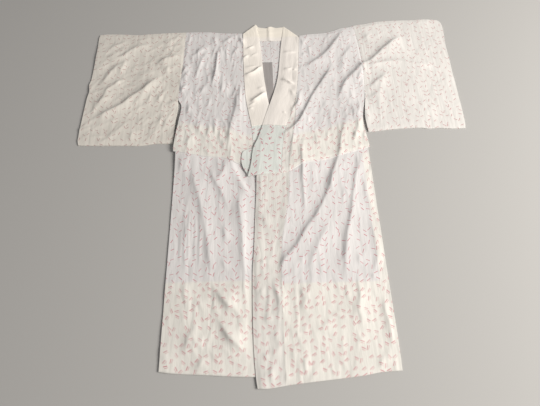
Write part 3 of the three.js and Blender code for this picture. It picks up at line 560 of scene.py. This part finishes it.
def roll(before, last, after):
    # the cloth turns over in a half round
    travel = last["points"][0] - before["points"][0]
    across = last["points"][-1] - last["points"][0]
    onward = np.array([-across[1], across[0], 0.0])
    onward /= np.linalg.norm(onward)
    if onward @ travel < 0:
        onward = -onward
    climb = after["points"][:, 2] - last["points"][:, 2]
    midOut = onward * (-last["facing"] * np.sign(climb[0]))
    rows = []
    for step in range(1, cloth["rollSteps"] + 1):
        turn = math.pi * step / (cloth["rollSteps"] + 1)
        share = (1 - math.cos(turn)) / 2
        points = mix(last["points"], after["points"], share)
        points = points + onward * (np.abs(climb) / 2 * math.sin(turn))[:, None]
        rows.append({"points": points, "facing": 0,
                     "out": math.cos(turn) * last["out"] + math.sin(turn) * midOut})
    return rows


def withRolls(rows):
    whole = []
    for i, last in enumerate(rows):
        whole.append(last)
        if i + 1 < len(rows) and rows[i + 1]["facing"] != last["facing"]:
            whole += roll(rows[i - 1], last, rows[i + 1])
    return whole


# how much the print has faded, and the heights between which that comes in
age = {"body": (0.5, 120, 260), "right": (0.74, 0, 60), "left": (0.42, 0, 60)}


def sheetPiece(name, rows, material, tint=None, uvAt=(0, 0), along=False, fades=None):
    rows = withRolls(rows)
    points = np.array([r["points"] for r in rows])
    out = np.array([r["out"] for r in rows])[:, None, :] * cloth["wall"] / 2
    high, wide = points.shape[:2]
    verts = np.concatenate([(points + out).reshape(-1, 3), (points - out).reshape(-1, 3)])
    n = high * wide
    grid = np.arange(n).reshape(high, wide)
    a, b, c, d = grid[:-1, :-1], grid[:-1, 1:], grid[1:, 1:], grid[1:, :-1]
    quads = [np.stack([a, b, c, d], -1).reshape(-1, 4),
             np.stack([a + n, d + n, c + n, b + n], -1).reshape(-1, 4)]
    for edge, flipped in ((grid[:, 0], False), (grid[:, -1], True), (grid[0], True),
                          (grid[-1], False)):
        p, q = edge[:-1], edge[1:]
        quad = (p, q, q + n, p + n) if not flipped else (p, p + n, q + n, q)
        quads.append(np.stack(quad, -1))
    faces = np.concatenate(quads)
    v = verts[faces]
    volume = (np.einsum("ij,ij->", v[:, 0], np.cross(v[:, 1], v[:, 2]))
              + np.einsum("ij,ij->", v[:, 0], np.cross(v[:, 2], v[:, 3])))
    if volume < 0:
        faces = faces[:, ::-1]
    mesh = bpy.data.meshes.new(name)
    mesh.from_pydata((verts * mm).tolist(), [], faces.tolist())
    mesh.update()
    middle = points[:, wide // 2]
    run = np.concatenate([[0], np.cumsum(np.linalg.norm(np.diff(middle, axis=0), axis=1))])
    u = points[:, :, 0]
    if along:
        steps = np.linalg.norm(np.diff(points, axis=1), axis=2)
        u = np.concatenate([np.zeros((high, 1)), np.cumsum(steps, axis=1)], axis=1)
    uv = np.stack([u + uvAt[0], np.repeat(run[:, None], wide, 1) + uvAt[1]], -1).reshape(-1, 2)
    uv = np.concatenate([uv, uv]) * mm
    loops = np.empty(len(mesh.loops), np.int32)
    mesh.loops.foreach_get("vertex_index", loops)
    layer = mesh.uv_layers.new(name="cut")
    layer.data.foreach_set("uv", uv[loops].astype(np.float32).ravel())
    value = np.zeros(n) if tint is None else np.clip(
        tint(points[:, :, 0], points[:, :, 1]).reshape(-1), 0, 1)
    attribute = mesh.attributes.new("warm", "FLOAT", "POINT")
    attribute.data.foreach_set("value", np.concatenate([value, value]).astype(np.float32))
    worn = (fades[0] * rise(*fades[1:], points[:, :, 1]).reshape(-1)
            if fades else np.zeros(n))
    attribute = mesh.attributes.new("faded", "FLOAT", "POINT")
    attribute.data.foreach_set("value", np.concatenate([worn, worn]).astype(np.float32))
    mesh.polygons.foreach_set("use_smooth", np.ones(len(mesh.polygons), bool))
    mesh.validate()
    piece = bpy.data.objects.new(name, mesh)
    bpy.context.scene.collection.objects.link(piece)
    mesh.materials.append(material)
    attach(piece, "root")
    cut = np.cross(points[1:, :-1] - points[:-1, :-1], points[:-1, 1:] - points[:-1, :-1])
    area = float(np.linalg.norm(cut, axis=-1).sum()) * mm * mm
    print(name, "faces", len(mesh.polygons), "length", round(float(run[-1])), "area",
          round(area, 4))
    return piece


def even(count):
    return np.linspace(0, 1, count + 1)


def edged(count):
    # even shares, with one more close to each end, where the cut edge rolls over
    u, close = even(count), cloth["edgeShare"] / count
    return np.concatenate([[0, close], u[1:-1], [1 - close, 1]])


def newMaterial(name):
    material = bpy.data.materials.new(name)
    material.use_nodes = True
    nodes = material.node_tree.nodes
    nodes.clear()
    output = nodes.new("ShaderNodeOutputMaterial")
    shader = nodes.new("ShaderNodeBsdfPrincipled")
    material.node_tree.links.new(shader.outputs[0], output.inputs[0])
    return material, nodes, material.node_tree.links, shader


def mathNode(nodes, links, kind, a, b=None, clamp=False):
    node = nodes.new("ShaderNodeMath")
    node.operation = kind
    node.use_clamp = clamp
    for socket, value in zip(node.inputs, (a, b)):
        if value is None:
            continue
        if isinstance(value, (int, float)):
            socket.default_value = value
        else:
            links.new(value, socket)
    return node.outputs[0]


def mixColour(nodes, links, share, a, b, kind="MIX"):
    node = nodes.new("ShaderNodeMix")
    node.data_type = "RGBA"
    node.blend_type = kind
    for socket, value in ((node.inputs[0], share), (node.inputs[6], a), (node.inputs[7], b)):
        if isinstance(value, (int, float)):
            socket.default_value = value
        elif isinstance(value, tuple):
            socket.default_value = (*value, 1)
        else:
            links.new(value, socket)
    return node.outputs[2]


def mapRange(nodes, links, value, start, end, smooth=False):
    node = nodes.new("ShaderNodeMapRange")
    if smooth:
        node.interpolation_type = "SMOOTHSTEP"
    for name, number in zip(("From Min", "From Max", "To Min", "To Max"), (*start, *end)):
        node.inputs[name].default_value = number
    links.new(value, node.inputs["Value"])
    return node.outputs[0]


def noise(nodes, links, place, scale, detail, distortion=0.0, stretch=None):
    node = nodes.new("ShaderNodeTexNoise")
    node.noise_dimensions = "2D"
    node.inputs["Scale"].default_value = scale
    node.inputs["Detail"].default_value = detail
    node.inputs["Distortion"].default_value = distortion
    if stretch:
        drawn = nodes.new("ShaderNodeMapping")
        drawn.inputs["Scale"].default_value = (*stretch, 1)
        links.new(place, drawn.inputs["Vector"])
        place = drawn.outputs[0]
    links.new(place, node.inputs["Vector"])
    return node.outputs["Fac"]


def bump(nodes, links, height, strength, distance, normal=None):
    node = nodes.new("ShaderNodeBump")
    node.inputs["Strength"].default_value = strength
    node.inputs["Distance"].default_value = distance
    links.new(height, node.inputs["Height"])
    if normal is not None:
        links.new(normal, node.inputs["Normal"])
    return node.outputs[0]


def vertexValue(nodes, name):
    node = nodes.new("ShaderNodeAttribute")
    node.attribute_name = name
    return node.outputs["Fac"]


weave = {"unevenScale": 9, "unevenDetail": 4, "unevenFrom": (0.3, 0.7), "uneven": (0.955, 1.02),
         "stripeScale": 95, "stripeDetail": 3, "stripeFrom": (0.36, 0.64), "roughness": 0.82,
         "sheen": 0.25, "sheenRoughness": 0.5, "specular": 0.25,
         "threadScale": 260, "threadDetail": 3, "threadStretch": (1, 0.22),
         "threads": 0.6, "depth": 0.0009, "strength": 0.5, "wrinkleScale": 13,
         "wrinkleDetail": 2.2, "wrinkleBend": 0.25, "wrinkleStretch": (1.6, 0.5),
         "wrinkled": 0.0026}
# A stroke's place is its own x and y in its cell and half its length.
strokeLook = {"cell": 0.0207, "random": 0.72, "turn": 2.0, "turnFrom": -1.15, "apart": 0.3,
              "first": (-0.0004, 0.0016, 0.0051), "width": 0.00088,
              "second": (0.0012, -0.0025, 0.0045), "secondWidth": 0.00066, "secondShare": 0.75,
              "soft": (0.7, 1.35), "palest": 0.65, "varies": 0.35, "faded": (0.43, 0.3, 0.28)}


def strokesOn(nodes, links, place, double, width):
    # one stroke in each cell, turned at random; where the cloth is double, the print of the
    # layer beneath shows through beside it
    def math1(kind, a, b=None, clamp=False):
        return mathNode(nodes, links, kind, a, b, clamp)

    cells = nodes.new("ShaderNodeTexVoronoi")
    cells.voronoi_dimensions = "2D"
    cells.feature = "F1"
    cells.inputs["Scale"].default_value = 1 / strokeLook["cell"]
    cells.inputs["Randomness"].default_value = strokeLook["random"]
    links.new(place, cells.inputs["Vector"])
    offset = nodes.new("ShaderNodeVectorMath")
    offset.operation = "SUBTRACT"
    links.new(place, offset.inputs[0])
    links.new(cells.outputs["Position"], offset.inputs[1])
    chance = nodes.new("ShaderNodeSeparateColor")
    links.new(cells.outputs["Color"], chance.inputs[0])
    turn = nodes.new("ShaderNodeVectorRotate")
    turn.rotation_type = "Z_AXIS"
    links.new(offset.outputs[0], turn.inputs["Vector"])
    lean = math1("ADD", math1("MULTIPLY", chance.outputs[0], strokeLook["turn"]),
                 strokeLook["turnFrom"])
    away = math1("MULTIPLY", math1("SIGN", lean), strokeLook["apart"])
    links.new(math1("ADD", lean, away), turn.inputs["Angle"])
    local = nodes.new("ShaderNodeSeparateXYZ")
    links.new(turn.outputs[0], local.inputs[0])

    def stroke(cx, cy, half, wide):
        along = math1("ABSOLUTE", math1("SUBTRACT", local.outputs[0], cx))
        dx = math1("MAXIMUM", math1("SUBTRACT", along, half), 0.0)
        dy = math1("SUBTRACT", local.outputs[1], cy)
        reach = math1("SQRT", math1("ADD", math1("MULTIPLY", dx, dx), math1("MULTIPLY", dy, dy)))
        low, high = strokeLook["soft"]
        return mapRange(nodes, links, reach, (wide * low, wide * high), (1, 0), smooth=True)

    second = math1("MULTIPLY", stroke(*strokeLook["second"], strokeLook["secondWidth"]),
                   math1("MULTIPLY", double, strokeLook["secondShare"]))
    strokes = math1("MAXIMUM", stroke(*strokeLook["first"], width), second)
    return math1("MULTIPLY", strokes,
                 math1("ADD", math1("MULTIPLY", chance.outputs[1], strokeLook["varies"]),
                       strokeLook["palest"]))


def printedCloth(name, cool, warm, strokeColour=None, stripes=(0.96, 1.022), ribs=0.6,
                 strokeWidth=strokeLook["width"]):
    material, nodes, links, shader = newMaterial(name)

    def math1(kind, a, b=None, clamp=False):
        return mathNode(nodes, links, kind, a, b, clamp)

    uvMap = nodes.new("ShaderNodeUVMap")
    uvMap.uv_map = "cut"
    place = uvMap.outputs[0]
    warmth = vertexValue(nodes, "warm")
    ground = mixColour(nodes, links, warmth, cool, warm)

    # broad unevenness of the old cloth
    cloud = noise(nodes, links, place, weave["unevenScale"], weave["unevenDetail"])
    shade = mapRange(nodes, links, cloud, weave["unevenFrom"], weave["uneven"])

    # stripes woven along the cloth
    across = nodes.new("ShaderNodeSeparateXYZ")
    links.new(place, across.inputs[0])
    bands = nodes.new("ShaderNodeTexNoise")
    bands.noise_dimensions = "1D"
    bands.inputs["Scale"].default_value = weave["stripeScale"]
    bands.inputs["Detail"].default_value = weave["stripeDetail"]
    links.new(across.outputs[0], bands.inputs["W"])
    stripe = mapRange(nodes, links, bands.outputs["Fac"], weave["stripeFrom"], stripes)
    value = math1("MULTIPLY", shade, stripe)
    evenGrey = nodes.new("ShaderNodeCombineColor")
    for socket in evenGrey.inputs:
        links.new(value, socket)
    ground = mixColour(nodes, links, 1.0, ground, evenGrey.outputs[0], "MULTIPLY")

    if strokeColour:
        worn = vertexValue(nodes, "faded")
        double = math1("MULTIPLY", warmth, math1("SUBTRACT", 1.0, worn), clamp=True)
        strength = strokesOn(nodes, links, place, double, strokeWidth)
        inked = mixColour(nodes, links, worn, strokeColour, strokeLook["faded"])
        ground = mixColour(nodes, links, strength, ground, inked)
    links.new(ground, shader.inputs["Base Color"])
    shader.inputs["Roughness"].default_value = weave["roughness"]
    shader.inputs["Sheen Weight"].default_value = weave["sheen"]
    shader.inputs["Sheen Roughness"].default_value = weave["sheenRoughness"]
    shader.inputs["Specular IOR Level"].default_value = weave["specular"]

    # faint sharp wrinkles where two folds of a broad noise meet, and the weave over them: two
    # crossing sets of threads, coarser along the stripes
    fold = noise(nodes, links, place, weave["wrinkleScale"], weave["wrinkleDetail"],
                 weave["wrinkleBend"], weave["wrinkleStretch"])
    wrinkles = bump(nodes, links, math1("ABSOLUTE", math1("SUBTRACT", fold, 0.5)), 1.0,
                    weave["wrinkled"])
    thread = noise(nodes, links, place, weave["threadScale"], weave["threadDetail"],
                   stretch=weave["threadStretch"])
    threads = math1("ADD", math1("MULTIPLY", thread, weave["threads"]),
                    math1("MULTIPLY", bands.outputs["Fac"], ribs))
    normal = bump(nodes, links, threads, weave["strength"], weave["depth"], wrinkles)
    links.new(normal, shader.inputs["Normal"])
    return material


printed = printedCloth("printedCloth", cool=(0.795, 0.777, 0.778), warm=(0.852, 0.832, 0.785),
                       strokeColour=(0.6, 0.21, 0.25))
# The right sleeve's cloth is darker and yellower than the rest: painted shade, as that sleeve lies
# farther from the lamp.
shadedSleevePrint = printedCloth("shadedSleevePrint", cool=(0.77, 0.745, 0.72), warm=(0.8, 0.765, 0.705),
                         strokeColour=(0.6, 0.21, 0.25))
collarPrinted = printedCloth("collarCloth", cool=(0.78, 0.82, 0.79), warm=(0.81, 0.84, 0.805),
                             strokeColour=(0.58, 0.12, 0.19), stripes=(0.985, 1.01), ribs=0.4,
                             strokeWidth=0.00112)
cream = printedCloth("creamCloth", cool=(0.97, 0.92, 0.875), warm=(0.99, 0.93, 0.83),
                     stripes=(0.995, 1.005), ribs=0.0)
grey = printedCloth("greyCloth", cool=(0.4, 0.375, 0.37), warm=(0.4, 0.375, 0.37),
                    stripes=(0.98, 1.02), ribs=0.3)
print("materials made")


sleeve = {"columns": 100, "frontRows": 130, "backRows": 24, "armholeEnd": 285, "seamMargin": 14,
          "seamLift": 0.25, "tint": {"right": 0.95, "left": 0.55}}
body = {"columns": 110, "skirtRows": 142, "tuckRows": 8, "flapRows": 30, "chestRows": 106,
        "collarSeam": 0.6, "peakRoom": 2, "peak": (535, 560), "turnedEdge": -52,
        "skirtTop": 60, "calmEdge": 24, "calm": 0.3, "calmTop": (-15, 5)}


def frontRows(hemLine, fold, bed, top, raised, edges, columns, end=None):
    # From the hem up to the tuck, into it, back down to its fold, up again on top of it, and on
    # to the shoulder: rows, the way they face, what they lie on, their edges and their lines.
    def turnedBed(x, y):
        return bed(x, y) + 1 - pressed(fold(x), y)

    zones = [
        (body["skirtRows"], 1, bed, edges["skirt"],
         lambda s: lambda x: mix(hemLine(x), fold(x), s)),
        (body["tuckRows"], 1, bed, edges["tucked"],
         lambda s: lambda x: fold(x) + tuck * s),
        (body["tuckRows"], -1, turnedBed, edges["turned"],
         lambda s: lambda x: fold(x) + tuck * (1 - s)),
        (body["flapRows"], 1, top, edges["bodice"],
         lambda s: lambda x: fold(x) + tuck * s),
        (body["chestRows"], 1, top, edges["bodice"],
         lambda s: lambda x: mix(fold(x) + tuck, shoulder(x), s))]
    rows = []
    for i, (count, facing, level, (outer, inner), line) in enumerate(zones):
        shares = even(count)
        if i > 0 and zones[i - 1][1] == facing:
            shares = shares[1:]
        if i == len(zones) - 1 and end is not None:
            shares = shares[shares <= end]
        hidden = i in (1, 2)
        rows += [rowOnLine(facing, line(s), outer, inner, level, columns,
                           flat if hidden else raised) for s in shares]
    return rows


def backRows(side, sign, bodice, skirt):
    # down the back, with the same tuck: each height, the way it faces and its layer in the tuck
    def seam(y):
        return back["seam"] + sign * cloth["seamGap"]

    def neckEdge(y):
        peak = collarEnds[side]["peak"][0]
        return float(collarEdge[side]["outer"](peak)) + sign * cloth["seamGap"]

    def inset(y):
        return bodice(y) - sign * back["inset"]

    def tucked(y):
        return bodice(y) - sign * back["tuckedIn"]

    fold, turns = back["fold"], back["tuckRows"]
    rows = [rowOnLine(-1, shoulder, bodice, neckEdge, flat, body["columns"])]
    plan = ([(y, -1, 0) for y in np.linspace(back["top"], fold, back["chestRows"])]
            + [(y, 1, 1) for y in np.linspace(fold, fold + tuck, turns)]
            + [(y, -1, 2) for y in np.linspace(fold + tuck, fold, turns)]
            + [(y, -1, None) for y in np.linspace(fold - back["belowFold"], back["hem"],
                                                  back["skirtRows"])])
    for y, facing, layer in plan:
        level = (lambda x, at: backBed(at) - 1) if layer is None else (
            lambda x, at, layer=layer: 0 * x + layer)
        outer = skirt if layer is None else (inset, inset, tucked)[layer]
        rows.append(rowOnLine(facing, lambda x, y=y: y + 0 * x, outer, seam, level,
                              body["columns"]))
    return rows


def makeBody(side):
    right = side == "right"
    sign = -1 if right else 1
    skirt, bodice = skirtSide[side], bodiceSide[side]
    plainTop = rightTop if right else leftTop

    def collarSeam(y):
        room = body["collarSeam"] + body["peakRoom"] * rise(*body["peak"], y)
        return collarEdge[side]["outer"](y) + sign * room

    def bandSeam(y):
        return (0 * y + under["bandSeam"] - cloth["seamGap"]) if right else (
            leftBandSeam(y) + cloth["seamGap"])

    def turned(y):
        return mix(body["turnedEdge"], under["bandSeam"], y / tuck) - cloth["seamGap"] if right \
            else bandSeam(y)

    def bodiceSeam(y):
        return collarSeam(y) if right else np.maximum(bandSeam(y), collarSeam(y))

    def tuckedSide(y):
        return bodice(y) - sign * back["tuckedIn"]

    def top(x, y):
        return plainTop(x, y) + collarRaise(y) * besideCollar(x - bodiceSeam(y))

    def bed(x, y):
        return backBed(y) if right else rightBed(x, y)

    def raised(x, y):
        # calmer at the free side edges, below the sleeve
        edge = np.abs(x - np.where(y < body["skirtTop"], skirt(y), bodice(y)))
        free = fall(*body["calmTop"], y - sleeve["armholeEnd"])
        calm = body["calm"] * free * fall(0, body["calmEdge"], edge)
        return (rightLift if right else lift)(x, y) * (1 - calm)

    edges = {"skirt": (skirt, bandSeam), "tucked": (tuckedSide, bandSeam),
             "turned": (bodice, turned), "bodice": (bodice, bodiceSeam)}
    rows = frontRows(hem[side], foldLine[side], bed, top, raised, edges, body["columns"])
    return rows + backRows(side, sign, bodice, skirt)


# Where the cloth is warmer, because it is double: the flap of the tuck, the deep hem from its
# top down, and the left side edge of the skirt.
doubled = {"flapStart": (-2, 2), "flapEnd": (98, 122), "hemTop": -350, "hemSoft": (-2, 3),
           "hemStep": 12, "hemStepFrom": (-10, 10), "sideFrom": (268, 276), "sideTo": (40, 60),
           "side": 0.9}


def bodyTint(x, y):
    above = y - np.where(x < 0, foldLine["right"](x), foldLine["left"](x))
    flap = rise(*doubled["flapStart"], above) * fall(*doubled["flapEnd"], above)
    step = doubled["hemStep"] * rise(*doubled["hemStepFrom"], x)
    deepHem = fall(*doubled["hemSoft"], y - doubled["hemTop"] + step)
    edge = doubled["side"] * rise(*doubled["sideFrom"], x) * fall(*doubled["sideTo"], y)
    return np.maximum(np.maximum(flap, deepHem), edge)


for side, shift in (("right", (0, 0)), ("left", (407, 1313))):
    name = "bodyCloth_" + side
    sheetPiece(name, makeBody(side), printed, bodyTint, shift,
                              fades=age["body"])
    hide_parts("body_" + side)
print("body made")


band = {"columns": 22, "topRow": 0.405, "gap": 0.3, "tuckedEdge": 12, "edgeWidth": 14,
        "edgeEnd": (-30, -20), "edgeDrop": 0.6, "calm": 0.7, "tint": 0.8, "hiddenColumns": 6,
        "hiddenRows": 60, "hiddenTuckRows": 8}


def makeLeftBand():
    def besideCollarEdge(y):
        return np.minimum(collarEdge["left"]["outer"](y) + body["collarSeam"],
                          leftBandSeam(y) - band["gap"])

    def turnedEdge(y):
        return band["tuckedEdge"] + body["collarSeam"] + 0 * y

    def tuckedEdge(y):
        return mix(leftFrontEdge(y), turnedEdge(y), rise(0, tuck, y))

    def top(x, y):
        return leftTop(x, y) + collarRaise(y)

    def raised(x, y):
        # the free edge lies down on the right front
        atEdge = fall(0, band["edgeWidth"], x - leftFrontEdge(y)) * fall(*band["edgeEnd"], y)
        return lift(x, y) * (1 - band["calm"] * atEdge) - band["edgeDrop"] * atEdge

    edges = {"skirt": (leftFrontEdge, leftBandSeam), "tucked": (tuckedEdge, leftBandSeam),
             "turned": (turnedEdge, leftBandSeam), "bodice": (besideCollarEdge, leftBandSeam)}
    return frontRows(hem["left"], foldLine["left"], rightBed, top, raised, edges,
                     band["columns"], end=band["topRow"])


def makeRightBand():
    fold = foldLine["right"]

    def outer(y):
        return under["bandSeam"] + 0 * y

    def level(x, y):
        return backBed(y)

    lines = [lambda x, s=s: mix(hem["right"](x), fold(x), s) for s in even(band["hiddenRows"])]
    lines += [lambda x, s=s: fold(x) + tuck * s for s in even(band["hiddenTuckRows"])[1:]]
    return [rowOnLine(1, line, outer, hiddenEdge, level, band["hiddenColumns"])
            for line in lines]


def bandTint(x, y):
    return band["tint"] + 0 * x


leftBand = sheetPiece("bandCloth_left", makeLeftBand(), printed, bandTint,
                      (811, 377))
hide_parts("band_left")
rightBand = sheetPiece("bandCloth_right", makeRightBand(), printed, bodyTint,
                       (650, 77))
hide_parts("band_right")
print("bands made")


def makeSleeve(side):
    sign = -1 if side == "right" else 1

    def inner(y):
        return np.where(y > sleeve["armholeEnd"], bodiceSide[side](y),
                        sleeveFreeEdge[side](y)) + sign * cloth["seamGap"]

    def raised(x, y):
        bottom = sleeveBottom(x)
        inside = rise(bottom, bottom + sleeve["seamMargin"], y)
        return lift(x, y) * mix(sleeve["seamLift"], 1, inside)

    outer = sleeveOuterEdge[side]
    rows = []
    for s in even(sleeve["frontRows"]):
        rows.append(rowOnLine(1, lambda x, s=s: mix(sleeveBottom(x), shoulder(x), s), outer,
                              inner, lambda x, y: 1 + 0 * x, sleeve["columns"], raised))
    for s in even(sleeve["backRows"]):
        rows.append(rowOnLine(-1, lambda x, s=s: mix(shoulder(x), sleeveBottom(x), s), outer,
                              inner, flat, sleeve["columns"]))
    return rows


# The right sleeve (x below 0) is tinted warmer than the left: painted shade, as that sleeve lies
# farther from the lamp.
def sleeveTintWithShade(x, y):
    return np.where(x < 0, sleeve["tint"]["right"], sleeve["tint"]["left"])


# the right sleeve takes the darker cloth, which is painted shade
for side, shift, material in (("right", (1207, 919), shadedSleevePrint),
                              ("left", (1651, 2113), printed)):
    piece = sheetPiece("sleeveCloth_" + side, makeSleeve(side), material,
                       sleeveTintWithShade, shift, fades=age[side])
    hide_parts("sleeve_" + side)
print("sleeves made")


collar = {"columns": 26, "rows": 260, "neckRows": 44, "crown": 0.5, "creamCrown": 1.1,
          "round": 2.6, "edge": 5, "innerEdge": 28, "calm": 0.75, "calmFrom": 0.3,
          "peakFrom": 0.93, "creamStart": {"right": 0.27, "left": 0.3}, "underCream": 0.995,
          "creamDrop": 0.05, "drop": 0.95, "openDrop": 1.3, "openFrom": (275, 310),
          "openTo": (440, 560), "tint": 0.45}


def innerDrop(side, y, extra):
    # how far the inner edge bends down onto what is under it
    drop = collar["creamDrop"] * extra
    if side == "right":
        return drop
    return (collar["drop"] + drop
            + collar["openDrop"] * rise(*collar["openFrom"], y) * fall(*collar["openTo"], y))


def collarRows(side, start, end, extra=0, crown=collar["crown"]):
    # rows across the collar from the share start of its length to the share end, where extra is
    # the room under the half collar
    outerLine, innerLine = collarEdge[side]["outer"], collarEdge[side]["inner"]
    low, peak = collarEnds[side]["lower"], collarEnds[side]["peak"]
    plainTop = rightTop if side == "right" else leftTop
    base = rightLift if side == "right" else lift
    u = edged(collar["columns"])
    puff = 1 - np.abs(2 * u - 1)**collar["round"]
    calm = 1 - collar["calm"] * rise(0, collar["calmFrom"], u)

    def level(x, y):
        return plainTop(x, y) + collarRaise(y) + extra

    rows = []
    for s in start + (end - start) * even(max(int(collar["rows"] * (end - start)), 4)):
        outerY, innerY = mix(low[0], peak[0], s), mix(low[1], peak[1], s)
        ends = (float(outerLine(outerY)), outerY), (float(innerLine(innerY)), innerY)
        ending = fall(collar["peakFrom"], 1.0, s)
        wide = math.dist(*ends)

        def raised(x, y, ending=ending, wide=wide):
            atInner = fall(0, collar["innerEdge"], (1 - u) * wide)
            atOuter = fall(0, collar["edge"], u * wide)
            return (base(x, y) * calm + (sample(collarMap, x, y) + crown * puff) * ending
                    - innerDrop(side, y, extra) * atInner
                    - collar["creamDrop"] * extra * atOuter)
        rows.append(row(1, *ends, level, collar["columns"], raised))
    return rows


# The collar's left end is turned up in the tuck: x and y of its free edge.
turnUp = {"free": [(-93, -14), (-103, 4), (-109, 26), (-108, 48), (-102, 64), (-84, 73)],
          "hidden": 12.0, "rows": 22, "drops": (-82, -64)}


def turnUpRows():
    free = curve([(y, x) for x, y in turnUp["free"]])
    bottom, top = turnUp["free"][0][1], turnUp["free"][-1][1]

    def level(x, y):
        return rightBed(x, y) + 1 - under["turnUpDrop"] * fall(*turnUp["drops"], x)

    return [row(-1, (turnUp["hidden"], y), (float(free(y)), y), level, collar["columns"])
            for y in np.linspace(top, bottom, turnUp["rows"])]


def collarTint(x, y):
    return collar["tint"] + 0 * x


rightCollar = sheetPiece("collarCloth_right",
                         collarRows("right", 0, collar["underCream"], crown=0),
                         collarPrinted, collarTint, (2300, 400), along=True)
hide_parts("collar_right")
leftCollar = sheetPiece("collarCloth_left",
                        turnUpRows() + collarRows("left", 0, collar["underCream"]),
                        collarPrinted, collarTint, (2500, 900), along=True)
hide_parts("collar_left")

# The half collar behind the neck: x and y of its outer edge, x and y of its inner edge.
neck = [(66, 538, 43, 600), (34, 534, 19, 597), (0, 533, 2, 604), (-34, 534, -20, 597),
        (-66, 542, -45, 602)]
pleat = {"at": -9, "height": 2.2, "steep": 2.4, "gentle": 12, "ends": (40, 60)}
creamWarm = {"side": 0.3, "sideTo": (-60, -20), "neck": 0.9, "neckFrom": (540, 560)}


def neckRows():
    ends = []
    for side in ("left", "right"):
        peak = collarEnds[side]["peak"]
        ends.append([float(collarEdge[side]["outer"](peak[0])), peak[0],
                     float(collarEdge[side]["inner"](peak[1])), peak[1]])
    plan = np.array([ends[0], *neck, ends[1]], float)

    def level(x, y):
        return 1 + 0 * x

    def raised(x, y):
        wide = np.where(x < pleat["at"], pleat["steep"], pleat["gentle"])
        folded = pleat["height"] * np.exp(-((x - pleat["at"]) / wide)**2)
        return folded * fall(*pleat["ends"], np.abs(x))

    rows = []
    for place in np.linspace(0, len(plan) - 1, collar["neckRows"]):
        ox, oy, ix, iy = [np.interp(place, np.arange(len(plan)), plan[:, k]) for k in range(4)]
        rows.append(row(-1, (ox, oy), (ix, iy), level, collar["columns"], raised))
    return rows


def makeHalfCollar():
    left, right = [collarRows(side, collar["creamStart"][side], 1, rising["layer"],
                              collar["creamCrown"]) for side in ("left", "right")]
    return left + neckRows() + right[::-1]


def creamTint(x, y):
    return np.maximum(creamWarm["side"] * fall(*creamWarm["sideTo"], x),
                      creamWarm["neck"] * rise(*creamWarm["neckFrom"], y))


halfCollar = sheetPiece("halfCollarCloth", makeHalfCollar(), cream, creamTint,
                        (3000, 100), along=True)
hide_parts("half_collar")
print("collar made")


patch = {"left": -90, "right": 1.5, "top": 433, "bottom": 247, "rows": 40, "columns": 18}
patchPiece = sheetPiece(
    "patchCloth",
    [row(1, (patch["left"], y), (patch["right"], y), lambda x, at: 1 + 0 * x, patch["columns"])
     for y in np.linspace(patch["bottom"], patch["top"], patch["rows"])],
    grey, None, (3400, 100))
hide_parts("back_patch")


stage = {"floor": 12.0, "floorLevel": -0.0002, "floorColour": (0.5, 0.495, 0.485),
         "sky": (1.0, 0.97, 0.95), "skyStrength": 0.26, "key": (3.4, -0.75, 2.15),
         "keySize": 1.8, "keyPower": 218, "keyColour": (1.0, 0.96, 0.9)}
bpy.ops.mesh.primitive_plane_add(size=stage["floor"], location=(0, 0, stage["floorLevel"]))
floor = bpy.context.object
floor.name = "floor"
floorMaterial, nodes, links, shader = newMaterial("paleFloor")
shader.inputs["Base Color"].default_value = (*stage["floorColour"], 1)
shader.inputs["Roughness"].default_value = 0.9
floor.data.materials.append(floorMaterial)

world = bpy.data.worlds.new("studio")
bpy.context.scene.world = world
bpy.context.scene.view_settings.view_transform = "Standard"
world.use_nodes = True
background = world.node_tree.nodes["Background"]
background.inputs["Color"].default_value = (*stage["sky"], 1)
background.inputs["Strength"].default_value = stage["skyStrength"]

light = bpy.data.lights.new("key", "AREA")
light.shape = "SQUARE"
light.size = stage["keySize"]
light.energy = stage["keyPower"]
light.color = stage["keyColour"]
lamp = bpy.data.objects.new("key", light)
bpy.context.scene.collection.objects.link(lamp)
lamp.location = stage["key"]
keyX, keyY, keyZ = stage["key"]
lamp.rotation_euler = (0, math.atan2(math.hypot(keyX, keyY), keyZ), math.atan2(keyY, keyX))

view = {"place": (-0.0402, -0.6515, 1.1521), "pitch": 65, "yaw": 1.75, "lens": 28.311,
        "sensor": 36}
camera = bpy.data.cameras.new("camera")
camera.lens = view["lens"]
camera.sensor_width = view["sensor"]
eye = bpy.data.objects.new("camera", camera)
bpy.context.scene.collection.objects.link(eye)
eye.location = view["place"]
eye.rotation_euler = (math.radians(90 - view["pitch"]), 0, -math.radians(view["yaw"]))
bpy.context.scene.camera = eye
print("stage set")
